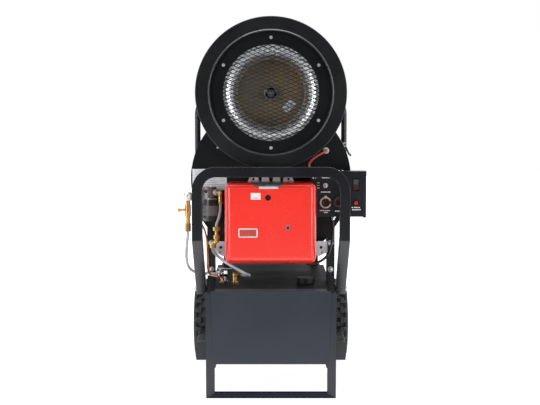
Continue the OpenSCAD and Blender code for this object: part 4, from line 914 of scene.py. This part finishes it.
def plate_screws(bm):
    add_cross_screw(bm, Vector((-0.206, 0.220, 0.9305)), TO_FRONT, 0.0050, 0.0026)


def box_screws(bm):
    for x in (0.261, 0.274):
        add_cross_screw(bm, Vector((x, 0.168, 0.842)), (0, 0, 1), 0.0038, 0.0034)


made("casing_rivets", casing_rivets, finish="drum paint")
made("cone_screws", cone_screws, finish="zinc")
made("plate_screws", plate_screws, finish="zinc")
made("box_screws", box_screws, finish="zinc")


# Switches and sockets ----------------------------------------------------------------------

ROCKER_Z = 790           # middle of the rocker's face, in millimetres
ROCKER_SLOPE = 3.5 / 21  # how far each half of it leans back


def rocker_lens(bm, z0, z1):
    """A coloured face let into one half of the rocker, 0.2 mm proud."""
    def front(z):
        return (158 - abs(z - ROCKER_Z) * ROCKER_SLOPE - 0.2) * MM
    corners = ((318.5, z0), (334.5, z0), (334.5, z1), (318.5, z1))
    add_skin(bm, [[bm.verts.new((x * MM, front(z) + depth, z * MM)) for x, z in corners]
                  for depth in (0, 0.0004)])


made("rocker_lens_upper", lambda bm: rocker_lens(bm, 792, 809), "rocker", "green lens", bevel=0.0002)
made("rocker_lens_lower", lambda bm: rocker_lens(bm, 771, 788), "rocker", "dark red lens", bevel=0.0002)


def socket_pins(bm):
    for (x, z), radius, count in zip(SOCKETS, (8.0, 5.5), (5, 3)):
        for a in around(count, 90):
            at = Vector(((x + radius * math.cos(a)) * MM, 165 * MM, (z + radius * math.sin(a)) * MM))
            add_turned(bm, [(0.0012, 0), (0.0012, 0.006), (0.0006, 0.0072), (0, 0.0072)], at, TO_FRONT, 12)


made("socket_pins", socket_pins, finish="brass")


# Fuel line ---------------------------------------------------------------------------------

def vent_dome(bm, at=Vector((-0.321, 0.172, 0.7475)), flutes=14, sides=84):
    """Pressed fluted cap over the vent's domed top."""
    rings = []
    for k in range(9):
        lift = math.radians(90 * k / 8)
        ring = []
        for i in range(sides):
            a = 2 * math.pi * i / sides
            r = (0.0163 + 0.0005 * math.cos(flutes * a) * math.cos(lift)) * math.cos(lift)
            rise = 0.0166 * math.sin(lift)
            ring.append(bm.verts.new(at + Vector((r * math.cos(a), r * math.sin(a), rise))))
        rings.append(ring)
    skirt = [bm.verts.new(v.co - Vector((0, 0, 0.019))) for v in rings[0]]
    rings.insert(0, skirt)
    add_skin(bm, rings, ends=False)
    bm.faces.new(skirt[::-1])


def head_plugs(bm):
    """Hexagon plug in the filter head and its bleed screw."""
    add_hexagon(bm, 0.014, 0, 0.005, Vector((-0.215, 0.152, 0.760)), TO_FRONT)
    add_turned(bm, [(0.009, 0), (0.009, 0.0012), (0, 0.0012)], Vector((-0.215, 0.152, 0.760)), TO_FRONT, 28)
    add_cross_screw(bm, Vector((-0.229, 0.172, 0.781)), (0, 0, 1), 0.006, 0.003)


made("vent_dome", vent_dome, finish="bracket zinc", smooth=60)
made("head_plugs", head_plugs, finish="zinc")


# Tank --------------------------------------------------------------------------------------

TANK_TOP = 0.402         # height of the tank's top wall
REAR_POST = 0.206        # outer face of the rear posts
LEG_DEPTH = 0.025        # foot loop's tube, front to back
BAR_H = 0.020            # height of the bar on the floor
PLATE_BACK = 0.171       # back of the burner's two plates


def tank_sheet(bm):
    """Top sheet of the tank: its folded edges stand out past the walls, and it forms a shelf behind."""
    half = [(0.020, 0.215), (0.262, 0.215), (0.262, 0.230), (0.696, 0.230), (0.696, 0.214), (0.762, 0.214)]
    outline = [(x, y) for y, x in half] + [(-x, y) for y, x in reversed(half)]
    low = [bm.verts.new((x, y, TANK_TOP)) for x, y in outline]
    high = [bm.verts.new((x, y, TANK_TOP + 0.0012)) for x, y in outline]
    add_skin(bm, [low, high])
    add_block(bm, (-0.214, 0.760, TANK_TOP - 0.022), (0.214, 0.762, TANK_TOP))


def add_weld(bm, a, b, r=0.0026, pitch=0.0042):
    """A rippled bead of weld from one point to another."""
    a, b = Vector(a), Vector(b)
    steps = max(4, round((b - a).length / pitch * 4))
    turn = frame_along(b - a)
    rings = []
    for k in range(steps + 1):
        along = (b - a) * (k / steps)
        bulge = r * (0.8 + 0.2 * abs(math.sin(math.pi * along.length / pitch)))
        rings.append([bm.verts.new(a + along + turn @ Vector((bulge * math.cos(t), bulge * math.sin(t), 0)))
                      for t in around(8)])
    add_skin(bm, rings)


def frame_welds(bm):
    """Welds round the feet of the posts and where the foot bar meets its legs."""
    for side in (-1, 1):
        for x0, x1, y0, y1, z in ((0.218, 0.250, 0.226, 0.258, 0.185),
                                  (REAR_POST - 0.032, REAR_POST, 0.700, 0.732, 0.164)):
            corners = [(side * x, y, z) for x, y in ((x0, y0), (x1, y0), (x1, y1), (x0, y1))]
            for a, b in zip(corners, corners[1:] + corners[:1]):
                add_weld(bm, a, b)
        reach = LEG_DEPTH / 2 - 0.003
        add_weld(bm, (side * 0.211, -reach, BAR_H), (side * 0.211, reach, BAR_H), 0.0018)


def drum_seam(bm):
    """Lap seam of the rolled drum, along its bottom, with its rivets."""
    rows = []
    for a in (math.radians(-90 + d) for d in (-2.4, -1.2, 0, 1.2, 2.4)):
        rows.append([bm.verts.new((r * math.cos(a), y, DRUM_Z + r * math.sin(a)))
                     for r, y in ((DRUM_OUT, 0.262), (0.3132, 0.262), (0.3132, 0.874), (DRUM_OUT, 0.874))])
    add_skin(bm, rows)
    for k in range(12):
        add_rivet(bm, Vector((0, 0.268 + 0.0535 * k, DRUM_Z - 0.3130)), (0, 0, -1), 0.0034, 0.0015)


def bracket_nuts(bm):
    """Dark nuts behind the holes of the burner's plates."""
    for side in (-1, 1):
        add_hexagon(bm, 0.017, 0, 0.006, Vector((side * 0.194, PLATE_BACK + 0.006, 0.546)), TO_FRONT)
        add_hexagon(bm, 0.009, 0, 0.004, Vector((side * 0.197, PLATE_BACK + 0.004, 0.527)), TO_FRONT)


made("tank_sheet", tank_sheet, finish="tank paint", bevel=0.0004)
made("frame_welds", frame_welds, finish="frame paint", smooth=50)
made("drum_seam", drum_seam, finish="drum paint")
made("bracket_nuts", bracket_nuts, finish="latch paint")


# Wheels ------------------------------------------------------------------------------------

def tyre_rings(side):
    """Raised rings on both walls of a tyre."""
    def build(bm):
        for face in (-1, 1):
            for radius, width in ((0.1300, 0.0022), (0.1385, 0.0014)):
                at = Vector((side * WHEEL[0] + face * 0.0478, *WHEEL[1:]))
                add_turned(bm, [(radius, 0), (radius + width * 0.3, 0.0008), (radius + width * 0.7, 0.0008),
                                (radius + width, 0)], at, (face, 0, 0), 96)
    return build


def valve_stem(side):
    """Rubber valve with its cap, through the rim's outer face."""
    def build(bm):
        at = Vector((side * (WHEEL[0] + 0.020), WHEEL[1], WHEEL[2] + 0.090))
        add_turned(bm, [(0.0042, -0.004), (0.0042, 0.006), (0.0032, 0.009), (0.0032, 0.020),
                        (0.0036, 0.0205), (0.0036, 0.028), (0.0026, 0.030), (0, 0.030)],
                   at, (side, 0, -0.12), 20)
    return build


for label, side in (("left", -1), ("right", 1)):
    made("tyre_rings_" + label, tyre_rings(side), "wheel_" + label, "tyre rubber", smooth=50)
    made("valve_stem_" + label, valve_stem(side), "wheel_" + label, "black plastic")


# Stage -------------------------------------------------------------------------------------

def make_stage():
    """Pale floor and a white surround that cameras and polished parts see as white."""
    bm = bmesh.new()
    bmesh.ops.create_grid(bm, x_segments=2, y_segments=2, size=14.0)
    floor = mesh_of("floor", bm)
    scene.collection.objects.link(floor)
    material = bpy.data.materials.new("studio floor")
    material.use_nodes = True
    g = Graph(material.node_tree)
    g.tree.nodes.clear()
    seen = g.add("ShaderNodeLightPath").outputs
    spot = g.place()
    away = g.add("ShaderNodeVectorMath", {0: spot}, operation="LENGTH").outputs["Value"]
    depth = g.add("ShaderNodeSeparateXYZ", {0: spot}).outputs["Y"]
    matt = g.add("ShaderNodeBsdfDiffuse", {"Color": (0.82, 0.82, 0.82, 1)}).outputs[0]
    # To the eye the floor is white but for a soft shadow near the wheels and the foot.
    white = g.add("ShaderNodeEmission", {"Color": (1, 1, 1, 1), "Strength": 1.6}).outputs[0]
    near = g.add("ShaderNodeMixShader", {0: g.ramp(away, 0.9, 2.6, 0.6, 1.0), 1: matt, 2: white}).outputs[0]
    # Polished faces see it bright round the object and dark toward the eye.
    across = g.math("ABSOLUTE", g.add("ShaderNodeSeparateXYZ", {0: spot}).outputs["X"])
    # Painted shadow in the floor's reflection: under the machine between the legs, fading out just in front
    # of the foot bar.
    painted_shadow_under = g.times(g.ramp(across, 0.20, 0.27, 1.0, 0.0), g.ramp(depth, -0.18, 0.02, 0.0, 0.75))
    bright = g.times(g.ramp(depth, -6.5, -1.6, 0.03, 1.0), g.ramp(depth, -1.1, -0.5, 1.0, 1.9))
    lit = g.add("ShaderNodeEmission", {"Color": (0.96, 0.98, 1, 1), "Strength": g.times(
                bright, g.math("SUBTRACT", 1.0, painted_shadow_under))}).outputs[0]
    polished = g.math("MAXIMUM", seen["Is Glossy Ray"], seen["Is Transmission Ray"])
    first = g.add("ShaderNodeMixShader", {0: seen["Is Camera Ray"], 1: matt, 2: near}).outputs[0]
    mix = g.add("ShaderNodeMixShader", {0: polished, 1: first, 2: lit}).outputs[0]
    g.add("ShaderNodeOutputMaterial", {"Surface": mix})
    floor.data.materials.append(material)

    world = bpy.data.worlds.new("surround")
    scene.world = world
    world.use_nodes = True
    g = Graph(world.node_tree)
    g.tree.nodes.clear()
    seen = g.add("ShaderNodeLightPath").outputs
    direct = g.math("MAXIMUM", seen["Is Camera Ray"], seen["Is Transmission Ray"])
    # The room is dark behind the eye, so flat black paint that faces it stays black, and bright
    # overhead, at the sides and at the back.
    way = g.add("ShaderNodeSeparateXYZ", {0: g.add("ShaderNodeTexCoord").outputs["Generated"]}).outputs
    sides = g.math("MAXIMUM", g.ramp(way["X"], 0.45, 0.9, 0.0, 1.6),
                   g.ramp(way["X"], -0.9, -0.45, 0.5, 0.0))
    above = g.ramp(way["Z"], 0.3, 0.8, 0.0, 2.0)
    room = g.math("MAXIMUM", g.ramp(way["Y"], -0.7, 0.6, 0.03, 0.75), g.math("MAXIMUM", sides, above))
    soft = g.math("ADD", g.times(seen["Is Glossy Ray"], room),
                  g.times(g.math("SUBTRACT", 1.0, seen["Is Glossy Ray"]), 0.42))
    strength = g.math("ADD", direct, g.times(g.math("SUBTRACT", 1.0, direct), soft))
    back = g.add("ShaderNodeBackground", {"Color": (1, 1, 1, 1), "Strength": strength}).outputs[0]
    g.add("ShaderNodeOutputWorld", {"Surface": back})


def softbox(name, at, aim, size, watts):
    data = bpy.data.lights.new(name, "AREA")
    data.shape = "RECTANGLE"
    data.size, data.size_y = size
    data.energy = watts
    lamp = bpy.data.objects.new(name, data)
    scene.collection.objects.link(lamp)
    lamp.location = at
    lamp.rotation_euler = (Vector(aim) - Vector(at)).to_track_quat("-Z", "Y").to_euler()


make_stage()
softbox("key", (-2.9, -2.6, 1.55), (0, 0.2, 0.9), (0.7, 2.9), 72)
softbox("fill", (3.0, -2.4, 1.55), (0, 0.2, 0.9), (0.5, 2.9), 50)
softbox("top", (0.0, 0.2, 3.4), (0, 0.4, 0.8), (2.2, 1.6), 42)
softbox("rear", (0.5, 3.4, 2.6), (0, 0.6, 0.8), (2.4, 1.6), 36)

scene.view_settings.view_transform = "Standard"
